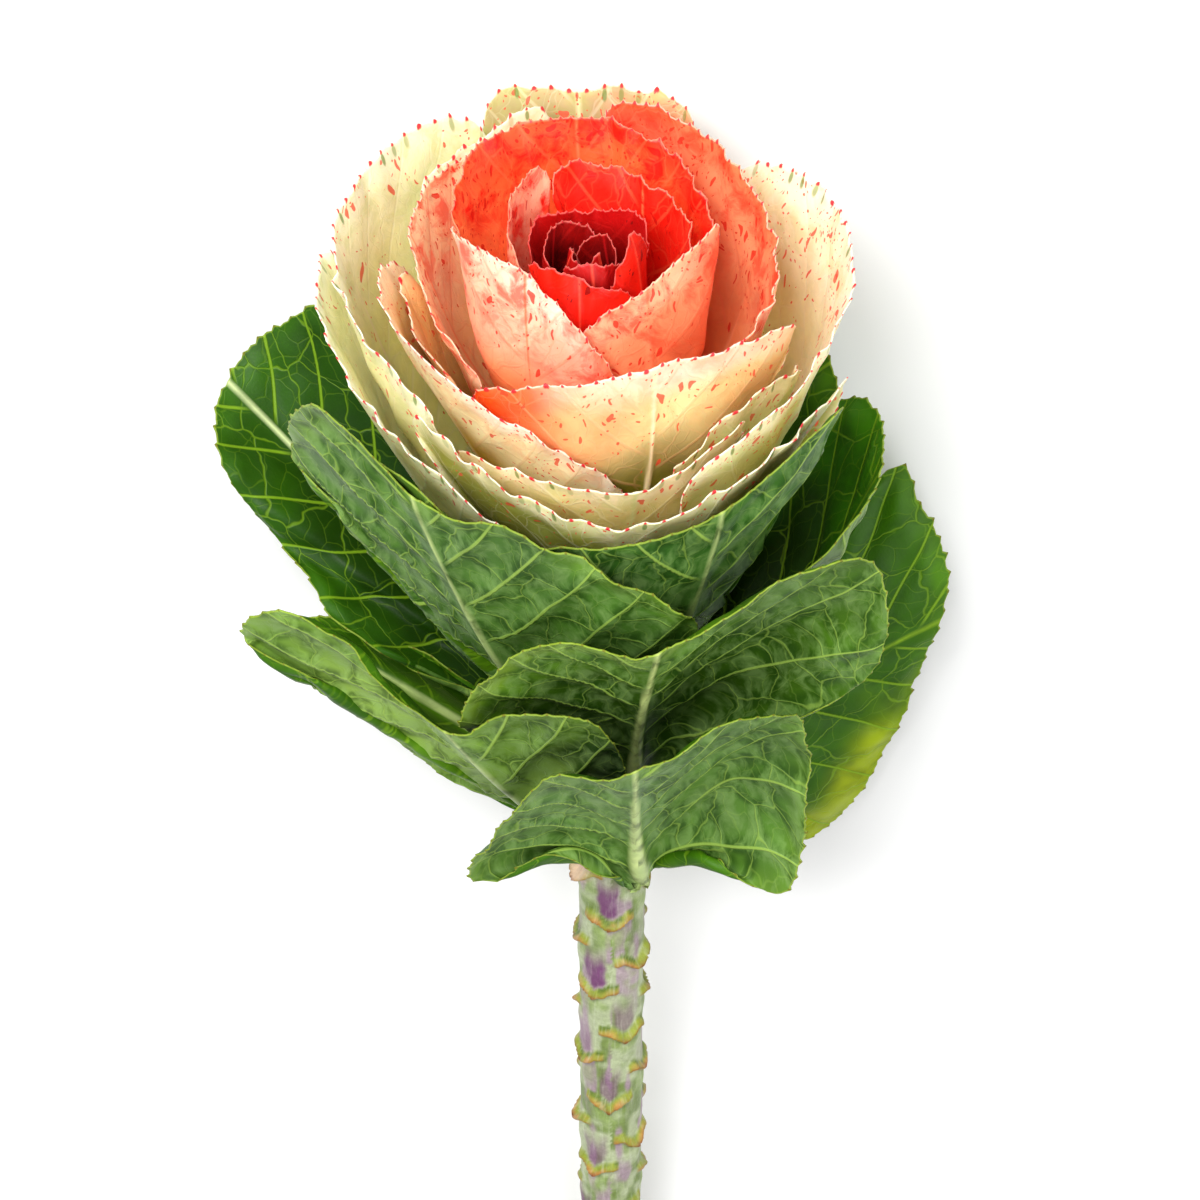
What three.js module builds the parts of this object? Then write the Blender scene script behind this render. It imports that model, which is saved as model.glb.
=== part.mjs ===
// Ornamental kale stem: a rosette of frilled leaves, cream to coral to dark red, above broad green
// leaves on a scarred stem. It is cut from its root and lies on its side.
// Millimetres, +Z up. The plant is first built upright in its own frame: z runs up the stem from the
// lowest leaf, the front is -y and the right is +x. One turned group then lays it down.
import * as THREE from 'three';

// Driving dimensions
const cutEnd = -170; // height of the cut, below the lowest leaf
const stemTop = 150; // growing tip, hidden inside the heart
const stemRadius = 7.3; // at the lowest leaf
const cutRadius = 6.7;
const taperFrom = 60; // the stem starts to narrow here, inside the head
const headLean = 5; // the head's axis leans this far to the left at headHeight
const headHeight = 165;
const greenThickness = 0.8;
const rosetteThickness = 0.6;
const leafGap = 0.3; // between a leaf's foot and the stem
const flankReach = 0.22; // a blade's flanks leave its foot this share of the way to the rim's ends
const flankSpread = 1.2; // and stand this many half widths of the foot to the side
const flankRise = 2; // above the foot, and out from it
const greenFootWidth = 4; // half width of a leaf's foot
const rosetteFootWidth = 5;
const lieAngle = 10.5; // slope of the stem as it lies, head end up
const origin = { x: -5.74, y: 38.27, z: -1.28 }; // plant-frame point that rests at the object's origin

const degree = Math.PI / 180;
const mix = (a, b, t) => a + (b - a) * t;
const mixPlace = (a, b, t) => a.map((value, i) => mix(value, b[i], t));

// The stem's centre line and radius at a height.
function axisX(z) {
  return -headLean * (Math.max(0, z) / headHeight) ** 2;
}

function stemRadiusAt(z) {
  if (z < 0) return mix(stemRadius, cutRadius, z / cutEnd);
  if (z < taperFrom) return stemRadius;
  const up = (z - taperFrom) / (stemTop + 2 - taperFrom);
  return stemRadius * Math.sqrt(1 - up * up);
}

// A place is [azimuth, radius, height] about the stem's axis. Azimuth 0 is the front, 90 the right.
function point([azimuth, radius, z]) {
  const a = azimuth * degree;
  return new THREE.Vector3(axisX(z) + radius * Math.sin(a), -radius * Math.cos(a), z);
}

// A smooth curve through places: Catmull-Rom in azimuth, radius and height.
class RimCurve extends THREE.Curve {
  constructor(places) {
    super();
    this.places = places;
    this.arcLengthDivisions = 120;
  }

  getPoint(t) {
    const last = this.places.length - 1;
    const i = Math.min(Math.floor(t * last), last - 1);
    const f = t * last - i;
    const [b, c] = [this.places[i], this.places[i + 1]];
    const a = this.places[i - 1] ?? mixPlace(c, b, 2);
    const d = this.places[i + 2] ?? mixPlace(b, c, 2);
    const at = k => b[k] + f / 2 * (c[k] - a[k]
      + f * (2 * a[k] - 5 * b[k] + 4 * c[k] - d[k] + f * (3 * (b[k] - c[k]) + d[k] - a[k])));
    return point([0, 1, 2].map(at));
  }
}

const bowStep = 0.02; // share of the half rim over which its direction is taken
const bowOutward = 0.35; // how far the bow leans from the blade's own normal to straight outward
const flare = 0.5; // the bow is deepest nearer the foot, and the rim flares

// A leaf is a fan of rays from its foot on the stem to its rim. cup bows the rays outward, and arch
// lifts those halfway between the midrib and the flanks.
// foot is [azimuth, height]; rim lists places from one flank over the midrib's tip to the other.
// The surface takes u across the leaf, from -1 to 1 with the midrib at 0, and v out along each ray.
function leafSurface({ foot, rim, cup = 0.15, arch = 0, footWidth = greenFootWidth }) {
  const [azimuth, height] = foot;
  const footPlace = [azimuth, stemRadiusAt(height) + leafGap + greenThickness / 2, height];
  const centre = point(footPlace);
  const a = azimuth * degree;
  const sideways = new THREE.Vector3(Math.cos(a), Math.sin(a), 0);
  const outward = new THREE.Vector3(Math.sin(a), -Math.cos(a), -0.7).normalize();
  const flank = (end, side) => {
    const start = [azimuth, footPlace[1] + flankRise, height + flankRise];
    const [turn, reach, rise] = mixPlace(start, end, flankReach);
    return [turn + side * flankSpread * footWidth / reach / degree, reach, rise];
  };
  const curve = new RimCurve([flank(rim[0], -1), ...rim, flank(rim.at(-1), 1)]);
  const lengths = curve.getLengths();
  const tip = lengths[lengths.length / 2 | 0] / lengths.at(-1);
  const rimPoint = u => curve.getPointAt(THREE.MathUtils.clamp(u < 0 ? tip * (1 + u) : mix(tip, 1, u), 0, 1));
  return (u, v) => {
    const start = sideways.clone().multiplyScalar(footWidth * u).add(centre);
    const ray = rimPoint(u).sub(start);
    const length = ray.length();
    const along = rimPoint(u + bowStep).sub(rimPoint(u - bowStep));
    const bow = new THREE.Vector3().crossVectors(along.normalize(), ray.clone().divideScalar(length));
    bow.addScaledVector(outward, bowOutward).normalize();
    const depth = length * cup * (1 - u ** 4) * 4 * v * (1 - v) * (1 - flare * v);
    start.z += length * arch * 4 * u * u * (1 - u * u) * 4 * v * (1 - v);
    return start.addScaledVector(ray, v).addScaledVector(bow, depth);
  };
}

// Closed sheet of even thickness round a surface: both faces and the band round the edge.
function sheet(surface, columns, rows, thickness) {
  const mid = [];
  for (let row = 0; row <= rows; row++) {
    for (let column = 0; column <= columns; column++) mid.push(surface(2 * column / columns - 1, row / rows));
  }
  const at = (column, row) => row * (columns + 1) + column;
  const face = [];
  for (let row = 0; row < rows; row++) {
    for (let column = 0; column < columns; column++) {
      const [a, b] = [at(column, row), at(column + 1, row)];
      const [c, d] = [at(column + 1, row + 1), at(column, row + 1)];
      face.push([a, b, c], [a, c, d]);
    }
  }
  const skin = new THREE.BufferGeometry().setFromPoints(mid);
  skin.setIndex(face.flat());
  skin.computeVertexNormals();
  const normal = skin.attributes.normal;
  const way = i => new THREE.Vector3().fromBufferAttribute(normal, i);
  const offset = (p, i, by) => p.clone().addScaledVector(way(i), by);
  const points = [1, -1].flatMap(side => mid.map((p, i) => offset(p, i, side * thickness / 2)));
  const loop = [];
  for (let column = 0; column < columns; column++) loop.push(at(column, 0));
  for (let row = 0; row < rows; row++) loop.push(at(columns, row));
  for (let column = columns; column > 0; column--) loop.push(at(column, rows));
  for (let row = rows; row > 0; row--) loop.push(at(0, row));
  const under = mid.length;
  const band = loop.flatMap((p, i) => {
    const q = loop[(i + 1) % loop.length];
    return [[q, p, p + under], [q, p + under, q + under]];
  });
  const back = face.map(([a, b, c]) => [a + under, c + under, b + under]);
  const geometry = new THREE.BufferGeometry().setFromPoints(points);
  geometry.setIndex([...face, ...back, ...band].flat());
  geometry.computeVertexNormals();
  return geometry;
}

const plant = new THREE.Group();

function add(name, geometry, colour, roughness) {
  const material = new THREE.MeshStandardMaterial({ color: colour, roughness, metalness: 0 });
  const mesh = new THREE.Mesh(geometry, material);
  mesh.name = name;
  plant.add(mesh);
}

// Stem: a round, slightly tapering stalk with the shelves that shed leaves have left, in a spiral.
const scars = 39;
const highestScar = { azimuth: -60.5, z: 3.9 };
const scarTurn = 138.5; // degrees round the stem from one scar to the next below it
const scarSpacing = 4.3; // height between them
const scarReach = 50; // degrees to each side of a scar's middle
const scarSlope = 2.6; // height of the slopes above and below a scar
const scarProud = 1.6;

function scarRise(azimuth, z) {
  let rise = 0;
  for (let i = 0; i < scars; i++) {
    const away = Math.abs(z - highestScar.z + scarSpacing * i) / scarSlope;
    const turn = ((azimuth - highestScar.azimuth - scarTurn * i) % 360 + 540) % 360 - 180;
    const side = Math.abs(turn) / scarReach;
    if (away < 1 && side < 1) rise = Math.max(rise, scarProud * (1 - away) * (1 - side * side));
  }
  return rise;
}

function stemGeometry() {
  const sides = 20;
  const heights = [cutEnd];
  for (let i = 2 * scars; i >= 0; i--) heights.push(highestScar.z - i * scarSpacing / 2);
  heights.push(highestScar.z + scarSlope);
  for (let z = 20; z < 130; z += 20) heights.push(z);
  heights.push(140, 146, stemTop);
  const points = heights.flatMap(z => Array.from({ length: sides }, (_, i) => {
    const azimuth = 360 * i / sides;
    return point([azimuth, stemRadiusAt(z) + scarRise(azimuth, z), z]);
  }));
  const bottom = points.length;
  points.push(point([0, 0, cutEnd]), point([0, 0, stemTop + 1]));
  const faces = [];
  for (let i = 0; i < sides; i++) {
    const j = (i + 1) % sides;
    const top = (heights.length - 1) * sides;
    faces.push(bottom, j, i, bottom + 1, top + i, top + j);
    for (let ring = 0; ring < heights.length - 1; ring++) {
      const [low, high] = [ring * sides, (ring + 1) * sides];
      faces.push(low + i, low + j, high + j, low + i, high + j, high + i);
    }
  }
  const geometry = new THREE.BufferGeometry().setFromPoints(points);
  geometry.setIndex(faces);
  geometry.computeVertexNormals();
  return geometry;
}

add('stem', stemGeometry(), '#b9c69a', 0.6);

// Green outer leaves, from the lowest up. The rim's middle place is the tip of the midrib.
const greenLeaves = {
  leaf_front_low: { foot: [48, 2], cup: -0.03, arch: 0.2, rim: [[-35, 24, 21], [-52, 38, 16], [-33, 44, 43],
    [-17, 45, 63], [7, 47, 66], [32, 50, 78], [57, 50, 62], [62, 44, 12], [61, 26, 14]] },
  leaf_back_low: { foot: [178, 10], rim: [[140, 34, 26], [150, 46, 56], [178, 53, 82], [208, 46, 56],
    [218, 34, 26]] },
  leaf_left_low: { foot: [-60, 14], cup: 0.03, rim: [[-84, 38, 32], [-62, 66, 77], [-63, 84, 97],
    [-52, 77, 109], [-41, 52, 72], [-25, 47, 79], [-5, 42, 77], [7, 28, 51], [4, 18, 38]] },
  leaf_right_back: { foot: [109, 20], cup: 0.06, rim: [[116, 50, -10], [114, 62, 1], [113, 72, 23],
    [113, 80, 47], [114, 82, 62], [118, 78, 75], [123, 72, 80]] },
  leaf_centre: { foot: [38, 28], cup: -0.05, rim: [[-60, 22, 42], [-44, 45, 69], [-24, 52, 96],
    [-7, 54, 107], [12, 54, 103], [33, 60, 118], [52, 68, 120], [56, 70, 98], [60, 58, 74]] },
  leaf_left_back: { foot: [245, 38], cup: 0.02, rim: [[235, 55, 120], [234, 72, 124], [237, 84, 116],
    [244, 91, 106], [254, 86, 95], [256, 72, 77], [268, 50, 60]] },
  leaf_left_mid: { foot: [280, 24], cup: 0.02, rim: [[268, 32, 46], [264, 46, 55], [252, 62, 56],
    [250, 74, 51], [258, 72, 51], [270, 56, 46], [276, 38, 40]] },
  leaf_left_front: { foot: [-40, 44], cup: 0.06, rim: [[-100, 34, 62], [-69, 55, 110], [-72, 66, 130],
    [-52, 68, 159], [-38, 60, 139], [-19, 58, 138], [0, 54, 126], [25, 46, 102], [20, 26, 73]] },
  leaf_back_mid: { foot: [148, 44], cup: 0.12, rim: [[114, 42, 70], [122, 60, 100], [147, 67.7, 118],
    [172, 56, 106], [184, 40, 80]] },
  leaf_right: { foot: [95, 52], rim: [[58, 42, 96], [65, 54, 110], [88, 59, 112], [113, 60, 113],
    [124, 48, 96]] },
  leaf_upper_front: { foot: [34, 57], cup: 0.05, rim: [[-4, 24, 85], [-16, 48, 124], [5, 51, 129],
    [29, 53, 134], [41, 55, 140], [58, 59, 150], [57, 38, 106]] },
  leaf_back_high: { foot: [203, 60], cup: 0.12, rim: [[172, 40, 90], [182, 56, 118], [208, 67.7, 130],
    [220, 58, 112], [226, 38, 82]] },
  leaf_upper_left: { foot: [-70, 64], cup: 0.11, rim: [[-78, 44, 100], [-74, 58, 124], [-52, 59, 142],
    [-34, 57, 137], [-30, 40, 104]] },
};

const greenColumns = 18;
const leafRows = 4;
for (const [name, leaf] of Object.entries(greenLeaves)) {
  add(name, sheet(leafSurface(leaf), greenColumns, leafRows, greenThickness), '#2f6d1c', 0.5);
}

// Rosette leaves: foot, then the left end, the midrib's tip and the right end of the showing rim.
// The flanks below the rim follow from these: out first, then up.
const rosetteLeaves = {
  cream_front: { foot: [5, 77], cup: 0.07, rim: [[-45, 50, 150], [5, 47, 131], [66, 56, 151]] },
  cream_far_left: { foot: [-70, 74], cup: 0.07, rim: [[-108, 57, 154], [-65, 54, 150], [-24, 50, 131]] },
  cream_back: { foot: [183, 79], cup: 0.05, rim: [[156, 54, 167], [182, 56, 170], [203, 56, 168]] },
  cream_right: { foot: [90, 83], cup: 0.1, rim: [[27, 45, 139], [90, 54, 163], [142, 53, 160]] },
  cream_left: { foot: [255, 84], cup: 0.14, rim: [[208, 51, 169], [260, 53, 165], [308, 44, 147]] },
  cream_low_front: { foot: [10, 86], cup: 0.08, rim: [[-40, 42.4, 140], [11, 41, 136], [46, 42, 145]] },
  cream_low_right: { foot: [62, 94], cup: 0.1, rim: [[28, 36, 136], [54, 41, 148], [80, 43, 142]] },
  cream_upper_left: { foot: [212, 95], cup: 0.05, rim: [[190, 46, 171], [212, 45, 168], [232, 44, 162]] },
  peach_left: { foot: [-42, 92], cup: 0.05, rim: [[-107, 41, 155], [-60, 43, 160], [8, 28, 128]] },
  peach_inner_left: { foot: [-64, 102], cup: 0.06, rim: [[-102, 38, 156], [-78, 38, 154], [-56, 36, 150]] },
  peach_front: { foot: [25, 100], rim: [[-45, 33, 149], [24, 32, 158], [72, 43, 158]] },
  coral_left: { foot: [255, 111], cup: 0.12, rim: [[210, 41, 166], [260, 37, 167], [306, 29, 146]] },
  coral_right: { foot: [120, 108], rim: [[58, 37, 158], [112, 40, 165], [172, 46, 174]] },
  red_back: { foot: [185, 112], cup: 0.1, rim: [[117, 28, 163], [183, 37, 176], [245, 31, 168]] },
  coral_front_left: { foot: [-38, 114], rim: [[-95, 27, 170], [-38, 20, 172], [12, 20, 150]] },
  coral_front_right: { foot: [45, 116], rim: [[-5, 16, 157], [42, 18, 167], [86, 27, 174]] },
  red_inner_left: { foot: [260, 119], cup: 0.11, rim: [[205, 21, 174], [265, 16, 170], [300, 15, 160]] },
  red_inner_right: { foot: [145, 122], cup: 0.11, rim: [[85, 20, 165], [150, 24, 170], [198, 22, 172]] },
  dark_back: { foot: [180, 127], cup: 0.1, rim: [[110, 13, 169], [186, 15, 167], [250, 13.4, 166]] },
  dark_front: { foot: [-8, 128], rim: [[-62, 13, 168], [-9, 11, 167], [45, 13, 162]] },
  dark_right: { foot: [70, 131], cup: 0.1, rim: [[28, 9.5, 162], [62, 11, 174], [98, 11, 163]] },
};

const rosetteColumns = 12;
const rosetteFlank = { turn: 0.88, reach: 0.74, rise: 0.55 }; // shares of the way from foot to rim end
const rosetteColours = {
  cream: '#dcd69a',
  peach: '#eab48c',
  coral: '#f0835c',
  red: '#e2341f',
  dark: '#a80f1c',
};
for (const [name, { foot, cup, rim: [left, tip, right] }] of Object.entries(rosetteLeaves)) {
  const side = end => {
    const reach = mix(stemRadiusAt(foot[1]), end[1], rosetteFlank.reach);
    return [mix(foot[0], end[0], rosetteFlank.turn), reach, mix(foot[1], end[2], rosetteFlank.rise)];
  };
  const leaf = { foot, rim: [side(left), left, tip, right, side(right)], cup, footWidth: rosetteFootWidth };
  const colour = rosetteColours[name.split('_')[0]];
  add(name, sheet(leafSurface(leaf), rosetteColumns, leafRows, rosetteThickness), colour, 0.5);
}

// Heart: the youngest leaves, each turned a golden angle from the last, narrower and lower within it.
const heartLeaves = 5;
const goldenAngle = 137.5;
const heartAzimuth = 230; // the outermost of them
const heartFoot = 134;
const heartFootStep = 3; // each foot is this much above the last
const heartRim = 168;
const heartRimStep = 0.6; // each rim is this much below the last
const heartRadius = 8.8;
const heartRadiusStep = 1.75;
const heartThickness = 0.5;
const heartFootWidth = 1.5;
const heartCup = 0.12;
const [heartColumns, heartRows] = [4, 3];
// One heart leaf's rim: turn from its midrib, share of its radius, and rise above its rim height.
const heartShape = [[-60, 0.7, -9], [-55, 1, -2], [0, 1.05, 1], [55, 1, -2], [60, 0.7, -9]];
for (let i = 0; i < heartLeaves; i++) {
  const azimuth = heartAzimuth + goldenAngle * i;
  const radius = heartRadius - heartRadiusStep * i;
  const top = heartRim - heartRimStep * i;
  const rim = heartShape.map(([turn, share, rise]) => [azimuth + turn, radius * share, top + rise]);
  const foot = [azimuth, heartFoot + heartFootStep * i];
  const leaf = { foot, rim, cup: heartCup, footWidth: heartFootWidth };
  add(`heart_${i + 1}`, sheet(leafSurface(leaf), heartColumns, heartRows, heartThickness), '#8c0b1c', 0.5);
}

// Lay the plant down: front up, head towards -Y, cut end towards +Y.
plant.position.set(-origin.x, -origin.y, -origin.z);
const lying = new THREE.Group();
lying.rotation.set((lieAngle - 90) * degree, 0, Math.PI, 'ZYX');
lying.add(plant);
const kale = new THREE.Group();
kale.add(lying);

export default kale;
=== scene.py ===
# %% [markdown]
# # Ornamental kale stem
# One cut stem of ornamental kale lies on its side. A stem with leaf scars carries broad green
# leaves, and above them a rosette that goes from cream through peach and coral to a dark red heart.
# The imported model gives the names, the places and the sizes. It is loaded first, and its parts
# are kept, hidden wherever a finished piece stands for them.

# %% Load the imported model
import math

import bmesh
import bpy
import numpy as np
from mathutils import Matrix, Vector


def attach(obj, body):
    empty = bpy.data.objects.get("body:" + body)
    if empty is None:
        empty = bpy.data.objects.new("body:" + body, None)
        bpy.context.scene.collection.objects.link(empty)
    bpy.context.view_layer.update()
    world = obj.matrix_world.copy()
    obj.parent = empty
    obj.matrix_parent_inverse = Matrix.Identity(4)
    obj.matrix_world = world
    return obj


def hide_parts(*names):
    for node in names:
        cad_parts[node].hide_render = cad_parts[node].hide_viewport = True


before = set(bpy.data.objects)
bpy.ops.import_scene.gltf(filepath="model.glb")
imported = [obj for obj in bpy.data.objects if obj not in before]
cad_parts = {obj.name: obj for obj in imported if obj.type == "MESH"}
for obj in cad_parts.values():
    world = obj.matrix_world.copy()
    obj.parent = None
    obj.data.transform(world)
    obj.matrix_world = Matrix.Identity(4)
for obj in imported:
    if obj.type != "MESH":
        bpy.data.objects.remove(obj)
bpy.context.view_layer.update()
print("packed nodes:", len(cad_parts))

# %% [markdown]
# A plant is easiest to describe while it stands: z runs up the stem in millimetres from the lowest
# leaf, the front is -y and the right is +x. A place is (azimuth, radius, height) about the stem's
# axis, with azimuth 0 in front and 90 at the right. One turn then lays every finished point down,
# head towards -Y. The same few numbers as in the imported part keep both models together.

# %% The standing plant's frame, and how it is laid down
MM = 0.001
LIE_ANGLE = math.radians(10.5)  # slope of the stem as it lies, head end up
ORIGIN = np.array([-5.74, 38.27, -1.28])  # standing place that rests at the object's origin
CUT_END = -170.0  # heights of the cut and of the growing tip
STEM_TOP = 150.0
STEM_RADIUS = 7.3  # at the lowest leaf, and at the cut
CUT_RADIUS = 6.7
DOME_FROM, DOME_TO = 60.0, STEM_TOP + 2  # the stem closes as a dome, and stops just short of its end
HEAD_LEAN = 5.0  # how far the stem leans to the left at the height of the head
HEAD_HEIGHT = 165.0

up, over = math.sin(LIE_ANGLE), math.cos(LIE_ANGLE)
LAY = np.array([[-1, 0, 0], [0, -up, -over], [0, -over, up]])


def laid(points):
    """Standing millimetres to the row frame's metres."""
    return (np.asarray(points) - ORIGIN) @ LAY.T * MM


def axis_x(z):
    """How far the head's axis leans to the side at a height."""
    return -HEAD_LEAN * (np.maximum(z, 0) / HEAD_HEIGHT) ** 2


def stem_radius(z):
    """The stem's radius at a height: nearly even below the leaves, and a dome to its tip."""
    below = STEM_RADIUS + (CUT_RADIUS - STEM_RADIUS) * z / CUT_END
    along = np.clip((z - DOME_FROM) / (DOME_TO - DOME_FROM), 0, 1)
    return np.where(z < 0, below, STEM_RADIUS * np.sqrt(1 - along**2))


def standing(places):
    """(azimuth, radius, height) places to standing x, y, z."""
    azimuth, radius, z = np.moveaxis(np.asarray(places, float), -1, 0)
    a = np.radians(azimuth)
    return np.stack([axis_x(z) + radius * np.sin(a), -radius * np.cos(a), z], -1)


print("the heart lies at", laid(standing([0, 0, 168])).round(4))

# %% [markdown]
# The camera looks at the plant's front from 38 degrees above the horizon of the standing plant.
# Here the plant lies on its back, so the camera looks down on it, steeply, with the head at the
# top of the frame. It is a long lens from about a metre, which keeps the leaves from bulging.

# %% Camera
CAMERA_DISTANCE = 1100.0
FRAME_WIDTH = 258.0  # millimetres across the frame at the aim point
AIM = np.array([-2.58, 0.0, 76.4])
SENSOR = 36.0
camera_rise = math.radians(38)

to_camera = np.array([0, -math.cos(camera_rise), math.sin(camera_rise)])
head_way = np.array([0, math.sin(camera_rise), math.cos(camera_rise)])
turn = Matrix([LAY @ axis for axis in (np.array([1, 0, 0]), head_way, to_camera)]).transposed()

lens = bpy.data.cameras.new("camera")
lens.sensor_width = SENSOR
lens.lens = SENSOR * CAMERA_DISTANCE / FRAME_WIDTH
lens.clip_start = 0.05
camera = bpy.data.objects.new("camera", lens)
camera.matrix_world = Matrix.Translation(laid(AIM + CAMERA_DISTANCE * to_camera)) @ turn.to_4x4()
bpy.context.scene.collection.objects.link(camera)
bpy.context.scene.camera = camera
print("camera at", [round(c, 3) for c in camera.location], "lens", round(lens.lens, 1), "mm")

# %% [markdown]
# Colours are written as sRGB hex values, as in a paint program, and turned to the linear light
# that the renderer counts in. One small helper adds a shader node with its settings and links, so
# that a finish reads as a short recipe: each line is one node, and what feeds it is in its call.
# Two more do what every finish here does: lay tones over one another, and shade them by a noise.

# %% Helpers for colours and nodes


def linear(hex_colour):
    """An sRGB hex value as linear red, green, blue and alpha."""
    channels = [int(hex_colour[i : i + 2], 16) / 255 for i in (1, 3, 5)]
    return (*[c / 12.92 if c <= 0.04045 else ((c + 0.055) / 1.055) ** 2.4 for c in channels], 1.0)


def feed(tree, node, inputs):
    """Set a node's inputs. One given as a node or one of its outputs is linked."""
    for socket, value in inputs.items():
        if isinstance(value, bpy.types.Node):
            value = next(output for output in value.outputs if output.enabled)
        if isinstance(value, bpy.types.NodeSocket):
            tree.links.new(value, node.inputs[socket])
        else:
            node.inputs[socket].default_value = value


def add_node(tree, kind, inputs=None, **settings):
    """A node with its settings and its inputs."""
    made = tree.nodes.new("ShaderNode" + kind)
    for name, value in settings.items():
        setattr(made, name, value)
    feed(tree, made, inputs or {})
    return made


def layered(tree, colour, layers):
    """Tones laid over a colour one after another, each with its share."""
    for share, tone in layers:
        tone = linear(tone) if isinstance(tone, str) else tone
        colour = add_node(tree, "Mix", {0: share, 6: colour, 7: tone}, data_type="RGBA")
    return colour


def shaded(tree, colour, noise, low, high, darkest, brightest):
    """A colour made darker where a noise is low and brighter where it is high."""
    tide = {"Value": noise, "From Min": low, "From Max": high, "To Min": darkest, "To Max": brightest}
    shade = add_node(tree, "MapRange", tide)
    return add_node(tree, "Mix", {0: 1.0, 6: colour, 7: shade}, data_type="RGBA", blend_type="MULTIPLY")


def new_material(name):
    """A material and its Principled shader, ready for a recipe."""
    material = bpy.data.materials.new(name)
    material.use_nodes = True
    return material, material.node_tree.nodes["Principled BSDF"]


print("leaf green in linear light:", [round(c, 3) for c in linear("#2f6d1c")])

# %% [markdown]
# A leaf is a fan: its blade spreads from the foot on the stem to a rim of a few measured places.
# A smooth curve through those places gives the rim, and straight rays from the foot to the rim,
# bowed a little, give the blade. A grid follows that fan: its columns are rays and its rows are
# steps outwards. A fan can be rolled flat almost without stretching, and that flat chart in
# millimetres is where the veins and the cells between them are drawn.

# %% The rim curve through its places
GREEN_THICKNESS = 0.8
LEAF_GAP = 0.3  # between a leaf's foot and the stem


def rim_line(places, steps=1600):
    """Points along a Catmull-Rom curve through the places, and the length along it at each."""
    p = np.asarray(places, float)
    p = np.vstack([2 * p[0] - p[1], p, 2 * p[-1] - p[-2]])
    t = np.linspace(0, len(places) - 1, steps + 1)
    i = np.minimum(t.astype(int), len(places) - 2)
    f = (t - i)[:, None]
    a, b, c, d = p[i], p[i + 1], p[i + 2], p[i + 3]
    curve = b + f / 2 * (c - a + f * (2 * a - 5 * b + 4 * c - d + f * (3 * (b - c) + d - a)))
    points = standing(curve)
    gaps = np.linalg.norm(np.diff(points, axis=0), axis=1)
    return points, np.concatenate([[0], np.cumsum(gaps)])


line, along = rim_line([[-60, 40, 100], [-20, 50, 120], [20, 40, 100]])
print("a rim over three places is", round(float(along[-1]), 1), "mm long")

# %% [markdown]
# Crumples, lumps and irregular waves need a random pattern that is the same on every run. A table
# of seeded random numbers, read between its entries with a smooth blend, gives soft lumps of any
# size. The table repeats after 64 lumps, which is more than any leaf holds.

# %% Soft seeded lumps
LUMP_TABLE = np.random.default_rng(5).random((64, 64)) * 2 - 1


def lumps(x, y, size, seed=0):
    """Smooth values from -1 to 1 over a plane, in lumps of about that size."""
    x, y = x / size + 17.3 * seed, y / size + 9.7 * seed
    i, j = np.floor(x).astype(int), np.floor(y).astype(int)
    f, g = x - i, y - j
    f, g = f * f * (3 - 2 * f), g * g * (3 - 2 * g)
    near = LUMP_TABLE[i % 64, j % 64] * (1 - f) + LUMP_TABLE[(i + 1) % 64, j % 64] * f
    far = LUMP_TABLE[i % 64, (j + 1) % 64] * (1 - f) + LUMP_TABLE[(i + 1) % 64, (j + 1) % 64] * f
    return near * (1 - g) + far * g


print("lumps span", lumps(np.arange(200.0), np.zeros(200), 7).min().round(2))

# %% [markdown]
# The fan's columns are counted out by the teeth along the rim, so that each tooth gets the same
# few columns and stays crisp. Rows are closer together near the rim, where the edge ruffles.

# %% The fan of a leaf: blade points, flat chart, and distances along and from the rim
GREEN_FOOT = 4.0  # half width of a leaf's foot
ROSETTE_FOOT = 5.0
HEART_FOOT = 1.5
FLANK_REACH = 0.22  # a blade's flanks leave its foot this share of the way to the rim's ends
FLANK_SPREAD = 1.2  # and stand this many half widths of the foot to the side
FLANK_RISE = 2.0  # above the foot, and out from it
ROOTED = 0.03  # how far a ray goes on into the stem, as a share of its length
ROW_CROWDING = 1.45  # above 1, rows are closer together near the rim
BOW_STEP = 0.02  # of the way along the rim, for the direction of the rim
BOW_OUTWARD = 0.35  # how much a blade bows away from the stem as well as across itself
FLARE = 0.5  # above 0, a blade bows more near its foot and flares towards its rim
OUTWARD_DROP = -0.7  # a bow goes down by this much for each step outwards


def smooth(x, low, high):
    """0 below low, 1 above high, and a smooth step between."""
    t = np.clip((x - low) / (high - low), 0, 1)
    return t * t * (3 - 2 * t)


def mixed(a, b, share):
    """a where share is 0, b where it is 1."""
    return a + (b - a) * share


def unit(v):
    """The directions of an array of vectors."""
    return v / np.maximum(np.linalg.norm(v, axis=-1, keepdims=True), 1e-9)


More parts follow.
